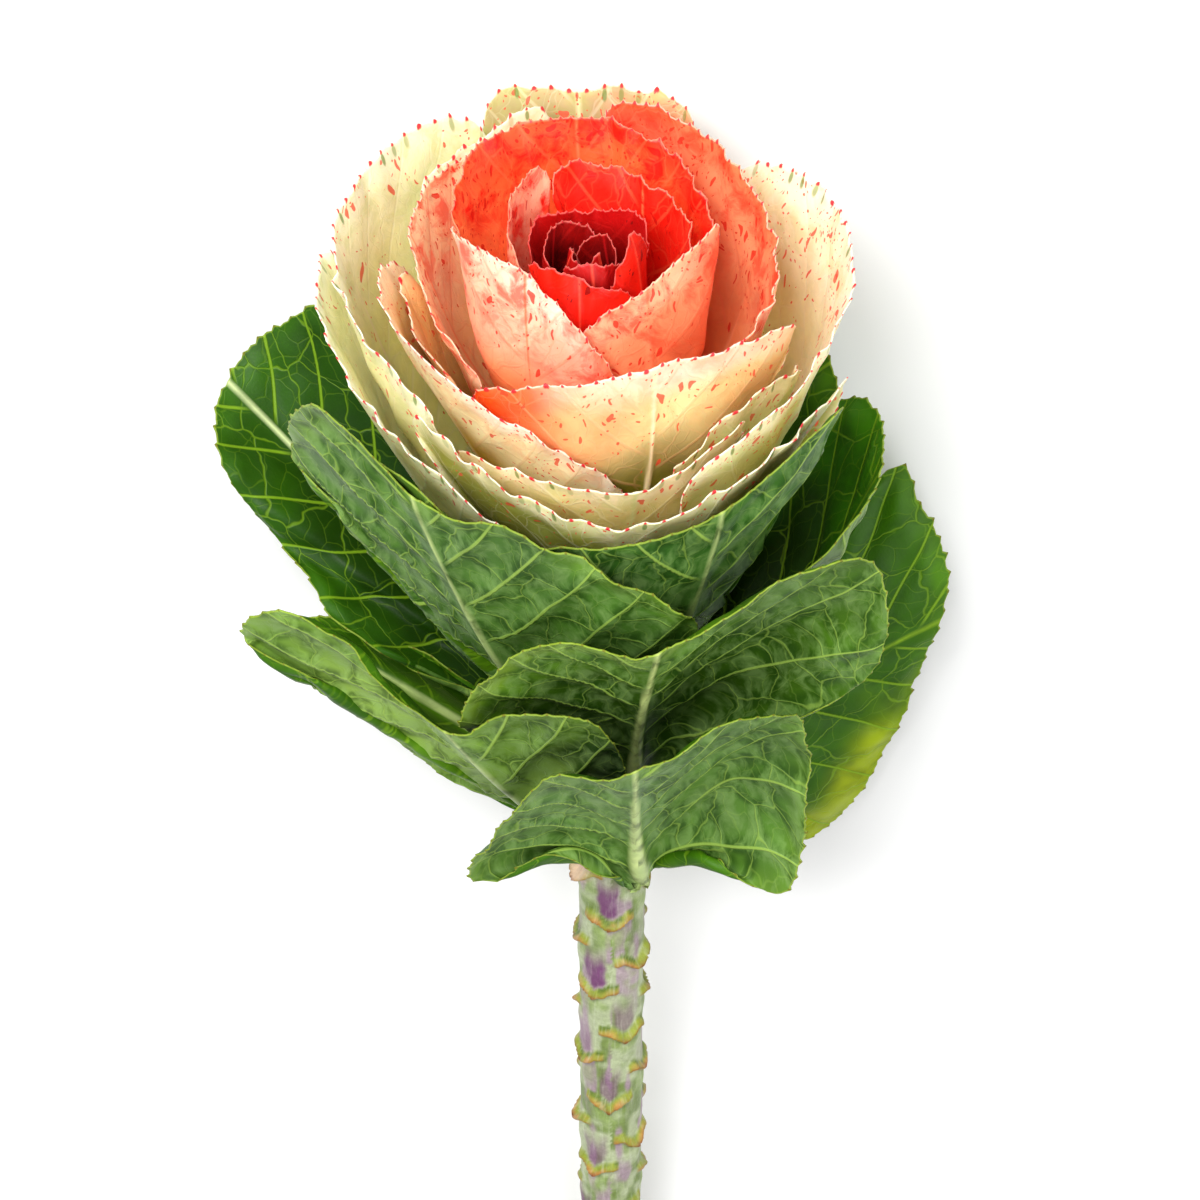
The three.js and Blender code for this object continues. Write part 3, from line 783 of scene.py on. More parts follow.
green_leaves = {
    "leaf_front_low": {
        "foot": [48, 2], "cup": -0.03, "arch": 0.2,
        "rim": [
            [-35, 24, 21], [-52, 38, 16], [-33, 44, 43], [-17, 45, 63], [7, 47, 66], [32, 50, 78],
            [57, 50, 62], [62, 44, 12], [61, 26, 14],
        ],
    },
    "leaf_back_low": {
        "foot": [178, 10],
        "rim": [[140, 34, 26], [150, 46, 56], [178, 53, 82], [208, 46, 56], [218, 34, 26]],
    },
    "leaf_left_low": {
        "foot": [-60, 14], "cup": 0.03,
        "rim": [
            [-84, 38, 32], [-62, 66, 77], [-63, 84, 97], [-52, 77, 109], [-41, 52, 72], [-25, 47, 79],
            [-5, 42, 77], [7, 28, 51], [4, 18, 38],
        ],
    },
    "leaf_right_back": {
        "foot": [109, 20], "cup": 0.06,
        "rim": [
            [116, 50, -10], [114, 62, 1], [113, 72, 23], [113, 80, 47], [114, 82, 62], [118, 78, 75],
            [123, 72, 80],
        ],
    },
    "leaf_centre": {
        "foot": [38, 28], "cup": -0.05,
        "rim": [
            [-60, 22, 42], [-44, 45, 69], [-24, 52, 96], [-7, 54, 107], [12, 54, 103], [33, 60, 118],
            [52, 68, 120], [56, 70, 98], [60, 58, 74],
        ],
    },
    "leaf_left_back": {
        "foot": [245, 38], "cup": 0.02,
        "rim": [
            [235, 55, 120], [234, 72, 124], [237, 84, 116], [244, 91, 106], [254, 86, 95],
            [256, 72, 77], [268, 50, 60],
        ],
    },
    "leaf_left_mid": {
        "foot": [280, 24], "cup": 0.02,
        "rim": [
            [264, 33, 53], [261, 46, 58], [252, 62, 56], [250, 74, 51], [258, 72, 51], [270, 56, 46],
            [276, 38, 40],
        ],
    },
    "leaf_left_front": {
        "foot": [-40, 44], "cup": 0.06,
        "rim": [
            [-100, 34, 62], [-69, 55, 110], [-72, 66, 130], [-52, 68, 159], [-38, 60, 139],
            [-19, 58, 138], [0, 54, 126], [25, 46, 102], [20, 26, 73],
        ],
    },
    "leaf_back_mid": {
        "foot": [148, 44], "cup": 0.12,
        "rim": [[114, 42, 70], [122, 60, 100], [147, 67.7, 118], [172, 56, 106], [184, 40, 80]],
    },
    "leaf_right": {
        "foot": [95, 52],
        "rim": [[58, 42, 96], [65, 54, 110], [88, 59, 112], [113, 60, 113], [124, 48, 96]],
    },
    "leaf_upper_front": {
        "foot": [34, 57], "cup": 0.05,
        "rim": [
            [-4, 24, 85], [-16, 48, 124], [5, 51, 129], [29, 53, 134], [41, 55, 140], [58, 59, 150],
            [57, 38, 106],
        ],
    },
    "leaf_back_high": {
        "foot": [203, 60], "cup": 0.12,
        "rim": [[172, 40, 90], [182, 56, 118], [208, 67.7, 130], [220, 58, 112], [226, 38, 82]],
    },
    "leaf_upper_left": {
        "foot": [-70, 64], "cup": 0.11,
        "rim": [[-78, 44, 100], [-74, 58, 124], [-52, 59, 142], [-34, 57, 137], [-30, 40, 104]],
    },
}
own_green = {
    "leaf_left_back": {"inside": ("#2e5c02", "#224a00", "#183800"), "inner_rib": ("#c8d69a", 4.6, 0.25)},
    "leaf_right_back": {
        "inside": ("#447206", "#336002", "#2c5600"), "inner_rib": ("#7ea31c", 1.0, 0.2),
        "left": ("#93a40e", 16.0),
    },
    # Painted shade: leaf_left_low's right lobe is darkened to a near black-green over most of its width.
    "leaf_left_low": {"outside": ("#769c34", "#6b9030", "#8aab48"), "right": ("#12280a", 110.0)},
    # Painted shade: leaf_centre's outer face darkens to a near black-green towards its root, where shade
    # falls under its rim, and its right flank is darker too.
    "leaf_centre": {
        "inside": ("#5a8612", "#447006", "#6f9430"), "outside": ("#7c9e2a", "#527c18", "#2c4c08"),
        "outer_rib": ("#dcea92", 2.1, 0.5), "right": ("#446c14", 70.0),
    },
    "leaf_front_low": {"outside": ("#5f8628", "#4c7424", "#588030"), "outer_rib": ("#cbdc8e", 2.2, 0.5)},
    "leaf_right": {"inside": ("#3e7a08", "#2e6606", "#1c3a00"), "inner_rib": ("#7ea31c", 1.0, 0.2)},
    "leaf_upper_front": {"outside": ("#3f6c20", "#33601c", "#4a742a"), "left": ("#1c3a0a", 80.0)},
    # leaf_left_front's paler left flank is partly its wax bloom and partly a painted highlight.
    "leaf_left_front": {"outside": ("#5f8629", "#466e24", "#4a7226"), "left": ("#7c9e50", 14.0)},
}

for seed, (name, leaf) in enumerate(green_leaves.items()):
    fan = leaf_fan(**leaf, tooth=GREEN_TOOTH, per_tooth=PER_TOOTH, rows=38)
    own = {**GREEN_PIGMENT, **own_green.get(name, {})}
    look = {**GREEN_LOOK, "seed": seed}
    made = make_leaf(name, fan, look, both_skins(fan, own), 0.0, green_leaf)
    print(made.name, len(made.data.polygons) * 2, "triangles")

# %% [markdown]
# The rosette's leaves are shorter and overlap like the petals of a rose. Each needs only the two
# ends of its rim and its tip, because its flanks always leave the stem in the same way. The tones
# go from cream outside to red inside. flecks says how thickly a leaf is dotted and dashed with red.

# %% Rosette leaves
ROSETTE_LOOK = {
    "spacing": 11.0, "ruffle": 1.0, "ruffle_depth": 4.0, "ruffle_size": 4.0, "quilt": 0.2,
    "pucker": 0.45, "tooth_depth": 0.8, "ragged": 0.9, "thickness": 0.55, "rib": 0.8, "rib_width": 1.4,
}
FAMILIES = {
    "cream": {
        "flecks": 0.35, "inner_rib": ("#f3e9bf", 1.0, 0.2), "outer_rib": ("#d9d79c", 1.2, 0.2),
        "inside": ("#f1e6c2", "#ecdfa2", "#c4be62"), "outside": ("#f0e6bd", "#d9d796", "#98a03c"),
    },
    "peach": {
        "flecks": 0.5, "inner_rib": ("#f3c98a", 1.0, 0.2), "outer_rib": ("#fbe6bd", 1.2, 0.2),
        "inside": ("#fbd2a8", "#efb564", "#c8862b"), "outside": ("#fde3cb", "#fbdcae", "#b5942f"),
    },
    "coral": {
        "flecks": 0.6, "inner_rib": ("#fb9a68", 0.8, 0.2), "outer_rib": ("#f78a62", 0.7, 0.2),
        "inside": ("#fdb58a", "#fca468", "#e0812f"), "outside": ("#fdc3a4", "#fda878", "#f08a50"),
    },
    "red": {
        "flecks": 0.7, "inner_rib": ("#fb7b4c", 0.8, 0.2), "outer_rib": ("#fb8a62", 0.8, 0.2),
        "inside": ("#f23f2b", "#fb6a3e", "#e8441c"), "outside": ("#f77a58", "#f0502f", "#d8300c"),
        "look": {"ruffle": 1.2, "ruffle_size": 3.2, "tooth_depth": 0.6},
    },
    "dark": {
        "flecks": 0.2, "inner_rib": ("#c01418", 0.6, 0.2), "outer_rib": ("#f64a34", 0.6, 0.2),
        "inside": ("#c00a0a", "#940404", "#600202"), "outside": ("#e8200e", "#e01606", "#b80804"),
        "look": {"ruffle": 1.0, "ruffle_size": 2.2, "ruffle_depth": 3.0, "tooth_depth": 0.6},
    },
}

rosette_leaves = {
    "cream_front": {"foot": [5, 77], "cup": 0.07, "rim": [[-45, 50, 150], [5, 47, 131], [66, 56, 151]]},
    "cream_far_left": {
        "foot": [-70, 74], "cup": 0.07,
        "rim": [[-108, 57, 154], [-65, 54, 150], [-24, 50, 131]],
    },
    "cream_back": {
        "foot": [183, 79], "cup": 0.05,
        "rim": [[156, 54, 167], [182, 56, 170], [203, 56, 168]],
    },
    "cream_right": {"foot": [90, 83], "cup": 0.1, "rim": [[27, 45, 139], [90, 54, 163], [142, 53, 160]]},
    "cream_left": {
        "foot": [255, 84], "cup": 0.14,
        "rim": [[208, 51, 169], [260, 53, 165], [308, 44, 147]],
    },
    "cream_low_front": {
        "foot": [10, 86], "cup": 0.08,
        "rim": [[-40, 42.4, 140], [11, 41, 136], [46, 42, 145]],
    },
    "cream_low_right": {
        "foot": [62, 94], "cup": 0.1,
        "rim": [[28, 36, 136], [54, 41, 148], [80, 43, 142]],
    },
    "cream_upper_left": {
        "foot": [212, 95], "cup": 0.05,
        "rim": [[190, 46, 171], [212, 45, 168], [232, 44, 162]],
    },
    "peach_left": {"foot": [-42, 92], "cup": 0.05, "rim": [[-107, 41, 155], [-60, 43, 160], [8, 28, 128]]},
    "peach_inner_left": {
        "foot": [-64, 102], "cup": 0.06,
        "rim": [[-102, 38, 156], [-78, 38, 154], [-56, 36, 150]],
    },
    "peach_front": {"foot": [25, 100], "rim": [[-45, 33, 149], [24, 32, 158], [72, 43, 158]]},
    "coral_left": {
        "foot": [255, 111], "cup": 0.12,
        "rim": [[210, 41, 166], [260, 37, 167], [306, 29, 146]],
    },
    "coral_right": {"foot": [120, 108], "rim": [[58, 37, 158], [112, 40, 165], [172, 46, 174]]},
    "red_back": {"foot": [185, 112], "cup": 0.1, "rim": [[117, 28, 163], [183, 37, 176], [245, 31, 168]]},
    "coral_front_left": {"foot": [-38, 114], "rim": [[-95, 27, 170], [-38, 20, 172], [12, 20, 150]]},
    "coral_front_right": {"foot": [45, 116], "rim": [[-5, 16, 157], [42, 18, 167], [86, 27, 174]]},
    "red_inner_left": {
        "foot": [260, 119], "cup": 0.11,
        "rim": [[205, 21, 174], [265, 16, 170], [300, 15, 160]],
    },
    "red_inner_right": {
        "foot": [145, 122], "cup": 0.11,
        "rim": [[85, 20, 165], [150, 24, 170], [198, 22, 172]],
    },
    "dark_back": {
        "foot": [180, 127], "cup": 0.1,
        "rim": [[110, 13, 169], [186, 15, 167], [250, 13.4, 166]],
    },
    "dark_front": {"foot": [-8, 128], "rim": [[-62, 13, 168], [-9, 11, 167], [45, 13, 162]]},
    "dark_right": {"foot": [70, 131], "cup": 0.1, "rim": [[28, 9.5, 162], [62, 11, 174], [98, 11, 163]]},
}
own_tones = {
    # Painted shade: cream_back's inner face is darker and browner than the other cream leaves. Its peach
    # left flank is its own colour.
    "cream_back": {"inside": ("#c0ae80", "#b4a46c", "#a0944c"), "left": ("#e4704e", 60.0), "flecks": 0.9},
    # Painted light: cream_far_left's tones are very pale, the root too, so that its shaded faces still look
    # lit.
    "cream_far_left": {
        "inside": ("#fbf5dc", "#fbf3c8", "#f6f0c0"), "outside": ("#fbf0c4", "#f6e8a0", "#dcd47c"),
    },
    # Painted shade: cream_front's outer face darkens to a deep olive towards its root, in the hollow
    # between leaves.
    "cream_front": {"outside": ("#e9deb0", "#94963c", "#5a6010")},
    # Painted light: cream_right's inner root is paler and greener, to offset its shade and the red light
    # bounced onto it.
    "cream_right": {"inside": ("#eee4c8", "#f4e8c4", "#f2f0b4"), "flecks": 1.0},
    # Painted light: cream_left's tones are pale and greenish at the root, to offset its shade and the red
    # light bounced onto it.
    "cream_left": {
        "inside": ("#e6dfbe", "#f4edc0", "#ecec9c"), "outside": ("#f6f2d2", "#f2efba", "#e6e6a0"),
    },
    "cream_low_front": {"outside": ("#f0dcb4", "#dbc988", "#a09c3c")},
    "cream_low_right": {"inside": ("#fbe6b4", "#f6d894", "#d3bc60"), "flecks": 0.6},
    "peach_left": {
        "inside": ("#fde4bc", "#f6d090", "#cf9438"), "outside": ("#feecd6", "#fdeabc", "#cfa840"),
        "flecks": 0.7,
    },
    "peach_inner_left": {
        "inside": ("#fcd8a4", "#efc27c", "#d09a44"), "outside": ("#fde4bc", "#f2cc84", "#cf9a40"),
    },
    # Painted shade: peach_front's outer face darkens to a dark olive towards its root. Its orange left
    # flank is its own colour.
    "peach_front": {
        "outside": ("#f6d6be", "#e6d094", "#6e6a14"), "left": ("#fb5208", 30.0), "right": ("#deb87c", 36.0),
        "flecks": 0.6,
    },
    "coral_front_left": {"outside": ("#fddcc4", "#fdc6a6", "#f08c50"), "right": ("#f0683c", 50.0)},
    "coral_front_right": {"outside": ("#fcae88", "#fa9064", "#ea7038"), "right": ("#ec4416", 50.0)},
    "coral_right": {"inside": ("#f87c52", "#fca070", "#f28850"), "right": ("#e01404", 60.0), "flecks": 1.0},
    "coral_left": {
        "inside": ("#fed4a8", "#fdd0a0", "#f8c080"), "outside": ("#fedcb8", "#fdcc98", "#f8b070"),
    },
    "red_inner_left": {
        "inside": ("#fb9a7c", "#fca484", "#ec5438"), "outside": ("#fba888", "#fb9470", "#f0603c"),
    },
    "red_inner_right": {"inside": ("#e42a18", "#ec2010", "#c81004")},
    "red_back": {"inside": ("#ec3018", "#fb6430", "#f0682c"), "right": ("#fb7c46", 60.0), "flecks": 0.9},
}
SIDE_WAY = [0.88, 0.74, 0.55]  # a side place's share of the way from foot to rim end


def rosette_rim(foot, rim):
    """The rim's three places with a side place before and after them."""
    low = np.array([foot[0], float(stem_radius(foot[1])), foot[1]])
    sides = [(low + (np.array(end, float) - low) * SIDE_WAY).tolist() for end in (rim[0], rim[-1])]
    return [sides[0], *rim, sides[1]]


for seed, (name, leaf) in enumerate(rosette_leaves.items()):
    kind = name.split("_")[0]
    own = {**FAMILIES[kind], **own_tones.get(name, {})}
    rim = rosette_rim(leaf["foot"], leaf["rim"])
    grid = {"tooth": TOOTH[kind], "per_tooth": PER_TOOTH, "rows": 24, "foot_width": ROSETTE_FOOT}
    fan = leaf_fan(**{**leaf, "rim": rim}, **grid)
    look = {**ROSETTE_LOOK, **own.get("look", {}), "seed": 20 + seed}
    paint = both_skins(fan, own)
    made = make_leaf(name, fan, look, paint, own["flecks"], leaf_finishes[kind])
    print(made.name, len(made.data.polygons) * 2, "triangles")

# %% [markdown]
# The heart is the youngest leaves, still rolled up. Each is turned by the golden angle from the
# last, as new leaves are on any rosette, and is narrower and lower than the last.

# %% Heart leaves
GOLDEN_ANGLE = 137.5
HEART_START = 230  # azimuth of the first of the heart's leaves
HEART_TOOTH = 1.9
# A rim's places: turn from the middle, share of the leaf's radius, and rise over its height.
HEART_TURNS = ((-60, 0.7, -9), (-55, 1, -2), (0, 1.05, 1), (55, 1, -2), (60, 0.7, -9))
HEART_TONES = {
    "inside": ("#8c0606", "#5a0203", "#2c0101"), "inner_rib": FAMILIES["dark"]["inner_rib"],
    "outside": ("#b40a0a", "#860404", "#500202"), "outer_rib": FAMILIES["dark"]["outer_rib"],
}
HEART_LOOK = {
    "spacing": 6.0, "ruffle": 0.9, "ruffle_depth": 2.5, "ruffle_size": 1.7, "quilt": 0.15,
    "pucker": 0.2, "tooth_depth": 0.6, "ragged": 0.5, "thickness": 0.45, "rib": 0.4, "rib_width": 0.8,
}
for number in range(5):
    azimuth = HEART_START + GOLDEN_ANGLE * number
    radius, height = 8.8 - 1.75 * number, 168 - 0.6 * number
    rim = [[azimuth + turn, radius * share, height + rise] for turn, share, rise in HEART_TURNS]
    grid = {"tooth": HEART_TOOTH, "per_tooth": PER_TOOTH, "rows": 16, "foot_width": HEART_FOOT}
    fan = leaf_fan([azimuth, 134 + 3 * number], rim, cup=0.12, **grid)
    look = {**HEART_LOOK, "seed": 50 + number}
    paint = both_skins(fan, HEART_TONES)
    made = make_leaf(f"heart_{number + 1}", fan, look, paint, 0.1, leaf_finishes["dark"])
    print(made.name, len(made.data.polygons) * 2, "triangles")

# %% [markdown]
# The stalk is round and a little thinner at its cut. Each leaf that was stripped from it has left a
# scar: a crescent shelf with a notch in its middle, proud by a millimetre or two. The scars climb
# in a spiral, a little over a third of a turn each. A grid rolled into a tube carries them well,
# since a scar is a function of the way round and the height. Its first rows are the cut face.

# %% Where the scars are, and how their shelves stand out
SCARS = 39
SCAR_TURN = 138.5
SCAR_SPACING = 4.3
HIGHEST_SCAR = (-60.5, 3.9)  # azimuth and height
SCAR_HALF_WIDTH = 6.2
NOTCH_DEPTH = 2.9
NOTCH_SHARE = 0.62  # of a shelf's half width
SHELF_PROUD = (1.6, 0.6)  # least height of a shelf, and how much more it may have
SHELF_FALL = 2.8  # how far above its edge a shelf has sunk back into the stalk
# Each scar's dice: how proud it is, how purple its axil is and how green the skin below it is.
scar_dice = np.random.default_rng(11).random((SCARS, 3))
scar_dice[:, 1] *= 0.45
scar_dice[[3, 8, 11, 13, 16, 21, 26, 29, 34], 1] = 0.95, 0.9, 0.5, 0.4, 0.55, 0.5, 0.8, 0.6, 0.7


def around_scar(i, azimuth, z):
    """Height over a scar's line, share of its half width, and millimetres to the side of its middle."""
    way = (azimuth - HIGHEST_SCAR[0] - SCAR_TURN * i + 180) % 360 - 180
    a = np.radians(way) * STEM_RADIUS
    s = np.clip(np.abs(a) / SCAR_HALF_WIDTH, 0, 1)
    notch = NOTCH_DEPTH * np.clip(1 - s / NOTCH_SHARE, 0, 1) ** 1.15
    wobble = 0.5 * lumps(a, 0 * a, 1.4, 30 + i)
    return z - (HIGHEST_SCAR[1] - SCAR_SPACING * i - notch) + wobble, s, a


def shelf_rise(i, h, s, a):
    """A shelf with a sharp lower edge, over a soft cushion."""
    round_off = np.sqrt(1 - s**2)
    least, more = SHELF_PROUD
    proud = (least + more * scar_dice[i, 0]) * round_off * (0.85 + 0.3 * lumps(a, 0 * a, 1.9, 70 + i))
    profile = smooth(h, -0.9, -0.1) * (1 - np.clip((h - 0.35) / SHELF_FALL, 0, 1)) ** 2
    cushion = 0.5 * round_off * np.exp(-(((h + 3.6) / 2.8) ** 2))
    return proud * profile + cushion


middle = around_scar(0, np.array(HIGHEST_SCAR[0]), np.array(HIGHEST_SCAR[1] - NOTCH_DEPTH))
print("at its notch the highest shelf stands proud by", round(float(shelf_rise(0, *middle)), 1), "mm")

# %% [markdown]
# The skin is a mix of grey-green and mauve strips under each shelf's own tones: greener below it,
# purple in the axil above it. A shelf's edge is dry and ochre, brown at its very lip and blotched
# with dark green. The highest shelf has kept a torn stub of its leaf, pale as fresh flesh.

# %% The scars' tones


def toned(colour, tone, share):
    """The colour with a tone laid on by a share at each place."""
    return mixed(colour, np.array(linear(tone)), share[..., None])


def skin_by_scar(colour, i, h, s, a, flecked):
    """The greener skin below a shelf and the purple axil above it."""
    purple, green = scar_dice[i, 1:]
    below = smooth(-h, 0.8, 2.5) * (1 - smooth(-h, 5, 10)) * (1 - smooth(s, 0.3, 0.9))
    colour = toned(colour, "#8da35a", (0.35 + 0.5 * green) * below * smooth(flecked, -0.6, 0.3))
    axil = smooth(h, 2.2, 3.2) * (1 - smooth(h, 5 + 3 * purple, 10 + 6 * purple))
    axil = axil * (1 - smooth(np.abs(a) + 1.2 * flecked, 1.8, 3.2))
    return toned(colour, "#6c3a66", axil * np.clip(purple * 1.5 - 0.15, 0, 0.95))


def shelf_edge(colour, i, h, s, a):
    """The dry edge of a shelf, with its blotches, its brown lip and the dark tip of its notch."""
    on = smooth(1 - s, 0, 0.12)
    edge = on * smooth(h, -0.7, -0.2)
    mixed_in = smooth(lumps(a + 7 * i, h, 1.7, 60), -0.3, 0.5)
    ochre = mixed_in * edge * (1 - smooth(h, 0.6, 1.9)) * (1 - 0.55 * smooth(s, 0.3, 0.8))
    spots = smooth(lumps(a + 3 * i, h, 1.3, 61), 0.0, 0.5)
    brown = on * np.exp(-(((h + 0.1) / 0.5) ** 2))
    tip = np.exp(-(((h - 0.2) / 0.6) ** 2)) * (1 - smooth(np.abs(a), 0.2, 0.8))
    for tone, share in (
        ("#84902c", edge * (1 - smooth(h, 1.6, 2.6))),
        ("#b2823e", ochre),
        ("#48620e", 0.9 * spots * on * np.exp(-(((h - 1.7) / 0.7) ** 2))),
        ("#9c6230", brown * (0.65 + 0.35 * lumps(a, h, 1.1, 40 + i))),
        ("#7f3a1e", 0.85 * tip),
    ):
        colour = toned(colour, tone, share)
    return colour


def scarred(azimuth, z):
    """How far the stalk's skin is raised, and its colour, over arrays of places on it."""
    a = np.radians(azimuth) * STEM_RADIUS
    flecked = lumps(a, z, 2.3, 2) * 0.5 + lumps(a, z, 5.5, 9) * 0.5
    strips = lumps(a * 1.3, z * 0.3, 3.0, 4)
    colour = np.ones((*azimuth.shape, 1)) * linear("#a6b08a")
    colour = toned(colour, "#6c7f40", smooth(flecked, -0.3, 0.45))
    colour = toned(colour, "#a08399", 0.75 * smooth(strips + 0.3 * flecked, 0.1, 0.55))
    rise = np.zeros(azimuth.shape)
    scars = [around_scar(i, azimuth, z) for i in range(SCARS)]
    for i, (h, s, a) in enumerate(scars):
        rise = np.maximum(rise, shelf_rise(i, h, s, a))
        colour = skin_by_scar(colour, i, h, s, a, flecked)
    for i, (h, s, a) in enumerate(scars):
        colour = shelf_edge(colour, i, h, s, a)

    h, _, a = scars[0]
    stub = np.exp(-((a / 3.2) ** 2)) * smooth(h, -2.5, 0) * (1 - smooth(h, 2, 6))
    colour = toned(colour, "#f0cdb0", 0.9 * stub * (1 - np.exp(-(((h + 0.3) / 0.7) ** 2))))
    return rise + 1.3 * stub * (1 - smooth(h, 0.5, 4)), colour


test_azimuth, test_z = np.meshgrid(np.linspace(0, 360, 9), np.linspace(-20, 0, 5), indexing="ij")
test_rise, _ = scarred(test_azimuth, test_z)
print("over a few places the skin stands proud by up to", round(float(test_rise.max()), 1), "mm")

# %% [markdown]
# The cut face is pale and damp: a ring of woody strands near the skin round a soft pith. It is
# slightly sunk in the middle, where the pith dries first. A grid is rolled into the stalk, and its
# seam and its two poles are merged.

# %% The stalk's mesh
STEM_COLUMNS = 112
FINE_STEP = 0.6  # millimetres between rows where there are scars
SCARS_END = 14  # height where the rows get coarse, since leaves hide the stem from there
BARE_ROWS = 39  # number of those coarse rows
PITH_RING = (0.82, 0.07)  # radius and width of the ring of strands, as shares of the cut face's
# Rows of the cut face: share of the radius, and how far the face is sunk there.
CUT_SHARES = [0, 0.22, 0.42, 0.58, 0.7, 0.8, 0.87, 0.93, 0.975]
CUT_SINKS = [1.1, 1.05, 0.9, 0.6, 0.3, 0.1, 0.0, 0.05, 0.15]
wall = np.arange(CUT_END + 0.5, SCARS_END, FINE_STEP)
bare = np.linspace(wall[-1], STEM_TOP, BARE_ROWS + 1)[1:]
row_z = np.concatenate([CUT_END + np.array(CUT_SINKS), wall, bare, [STEM_TOP + 0.6]])
row_share = np.concatenate([CUT_SHARES, np.ones(len(wall) + len(bare)), [0]])
azimuth, z = np.meshgrid(np.linspace(0, 360, STEM_COLUMNS + 1), row_z, indexing="ij")
rise, colour = scarred(azimuth, z)
# Painted shade: above the lowest leaves the stalk is darkened to a deep green, as if shaded by the leaves
# round it.
colour = toned(colour, "#33500f", smooth(z, 8, 20))  # deep green between the leaves
rise = rise * smooth(z, CUT_END + 0.3, CUT_END + 3)
radius = row_share * (stem_radius(np.minimum(z, STEM_TOP)) + rise)
on_cut = np.arange(len(row_z)) <= len(CUT_SHARES)
ring = np.exp(-(((row_share - PITH_RING[0]) / PITH_RING[1]) ** 2))
cut_tone = toned(np.ones((1, len(row_z), 1)) * linear("#e4e6c4"), "#a8b878", ring[None] * 0.8)
colour = np.where(on_cut[None, :, None], cut_tone, colour)
colour[..., 3] = on_cut[None, :]
places = laid(standing(np.stack([azimuth, radius, z], -1)))

bm = bmesh.new()
chart = bm.loops.layers.uv.new("chart")
rows = len(row_z) - 1
bmesh.ops.create_grid(bm, x_segments=STEM_COLUMNS, y_segments=rows, size=1, calc_uvs=True)
paint = bm.verts.layers.float_color.new("paint")
for corner in bm.verts:
    i = round((corner.co.x + 1) / 2 * STEM_COLUMNS)
    j = round((corner.co.y + 1) / 2 * rows)
    corner.co = places[i, j]
    corner[paint] = colour[i, j]
for face in bm.faces:
    face.smooth = True
    for loop in face.loops:
        way_round, way_up = loop[chart].uv
        loop[chart].uv = way_round * 2 * math.pi * STEM_RADIUS, row_z[round(way_up * rows)]
bmesh.ops.remove_doubles(bm, verts=bm.verts[:], dist=1e-7)
bmesh.ops.recalc_face_normals(bm, faces=bm.faces[:])
stalk_mesh = bpy.data.meshes.new("stalk")
bm.to_mesh(stalk_mesh)
open_edges = sum(not edge.is_manifold for edge in bm.edges)
bm.free()
print("stalk:", len(stalk_mesh.polygons) * 2, "triangles,", open_edges, "open edges")

# %% [markdown]
# Kale stalk: a tough green skin under a whitish bloom of wax, which rubs off in fine lengthwise
# streaks. Red pigment shows through it as mauve, strongest in the axil above each scar.

# %% Finish: waxy stalk skin


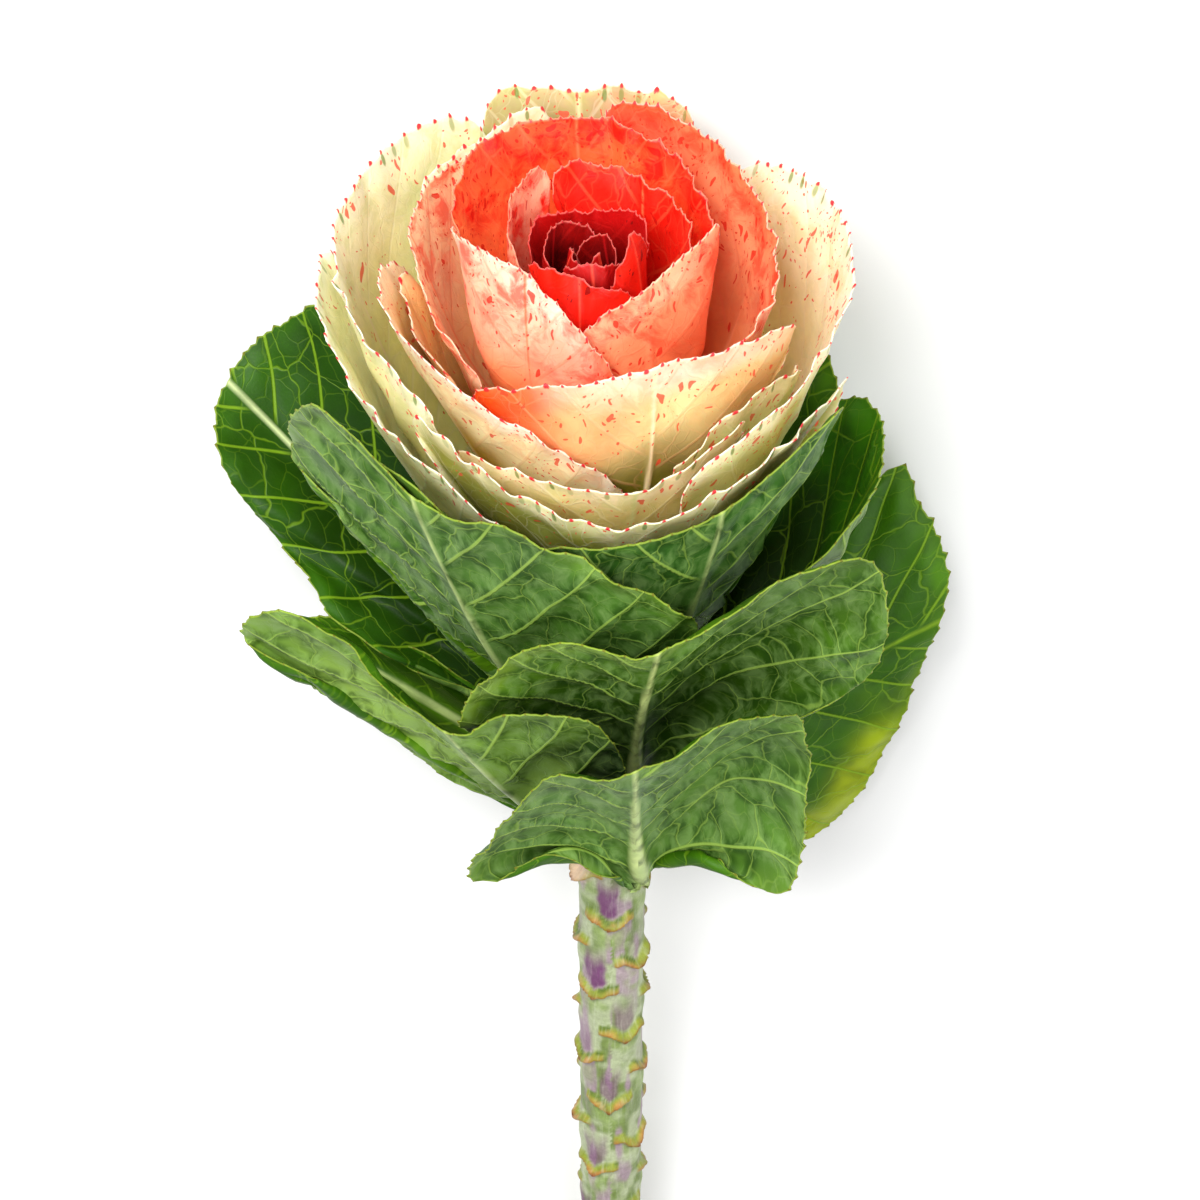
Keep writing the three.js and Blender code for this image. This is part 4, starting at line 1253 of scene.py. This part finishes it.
def stalk_finish():
    material, shader = new_material("waxy kale stalk skin")
    tree = material.node_tree
    chart = add_node(tree, "UVMap", uv_map="chart")
    paint = add_node(tree, "Attribute", attribute_name="paint")
    lengthwise = add_node(tree, "Mapping", {"Vector": chart, "Scale": (1.0, 0.14, 1.0)})
    streaks = {"Vector": lengthwise, "Scale": 0.9, "Detail": 3.0, "Roughness": 0.6}
    streaks = add_node(tree, "TexNoise", streaks)
    bloom = add_node(tree, "MapRange", {"Value": streaks, "From Min": 0.5, "From Max": 0.75, "To Max": 0.2})
    grime = add_node(tree, "TexNoise", {"Vector": chart, "Scale": 0.9, "Detail": 5.0, "Roughness": 0.7})
    colour = shaded(tree, layered(tree, paint, [(bloom, "#dfe1cf")]), grime, 0.3, 0.7, 0.78, 1.14)

    # Strands dot the cut face, under a millimetre apart, where the paint's alpha is 1. Real ones
    # are finer, too fine to show.
    place = add_node(tree, "TexCoord").outputs["Object"]
    strands = add_node(tree, "TexVoronoi", {"Vector": place, "Scale": 1300.0})
    strands = {"Value": strands, "From Min": 0.35, "From Max": 0.2, "To Max": 0.5}
    strands = add_node(tree, "MapRange", strands)
    strands = add_node(tree, "Math", {0: strands, 1: paint.outputs["Alpha"]}, operation="MULTIPLY")
    colour = layered(tree, colour, [(strands, "#9aa863")])

    height = add_node(tree, "Math", {0: streaks, 1: 1.0, 2: grime}, operation="MULTIPLY_ADD")
    bump = add_node(tree, "Bump", {"Strength": 0.4, "Distance": 0.0004, "Height": height})
    rough = add_node(tree, "MapRange", {"Value": streaks, "To Min": 0.42, "To Max": 0.62})
    feed(tree, shader, {"Base Color": colour, "Normal": bump, "Roughness": rough, "IOR": 1.42})
    return material


stalk = finished("stem", "_stalk", stalk_mesh, stalk_finish())
print(stalk.name, "made")

# %% [markdown]
# The stage is a plain pale floor under soft light, as in a studio: one large lamp above the head,
# a weaker one from the side and an even pale surround, so that shadows stay light.

# %% Floor, lamps and surround
LIT_PLACE = Vector((0, -0.06, 0.04))
floor_mesh = bpy.data.meshes.new("floor")
bm = bmesh.new()
bmesh.ops.create_grid(bm, x_segments=4, y_segments=4, size=2.5)
bm.to_mesh(floor_mesh)
bm.free()
floor = bpy.data.objects.new("floor", floor_mesh)
bpy.context.scene.collection.objects.link(floor)
paper, paper_shader = new_material("matt white paper backdrop")
fibre = add_node(paper.node_tree, "TexNoise", {"Scale": 40.0, "Detail": 3.0}).outputs[0]
tone = add_node(paper.node_tree, "MapRange", {"Value": fibre, "To Min": 0.86, "To Max": 0.9})
feed(paper.node_tree, paper_shader, {"Base Color": tone, "Roughness": 0.9})
floor_mesh.materials.append(paper)


def softbox(name, place, size, watts):
    """A square area lamp at a place, in metres, that faces the plant."""
    light = bpy.data.lights.new(name, "AREA")
    light.size, light.energy = size, watts
    lamp = bpy.data.objects.new(name, light)
    lamp.location = place
    lamp.rotation_euler = (LIT_PLACE - Vector(place)).to_track_quat("-Z", "Y").to_euler()
    bpy.context.scene.collection.objects.link(lamp)
    return lamp


softbox("key", (0.45, -0.95, 1.2), 0.8, 28)
softbox("fill", (-0.7, -0.1, 1.3), 1.2, 12)

surround = bpy.data.worlds.new("surround")
bpy.context.scene.world = surround
surround.use_nodes = True
light = {"Color": linear("#ffffff"), "Strength": 0.5}
feed(surround.node_tree, surround.node_tree.nodes["Background"], light)
bpy.context.scene.view_settings.view_transform = "Standard"
print("stage set")
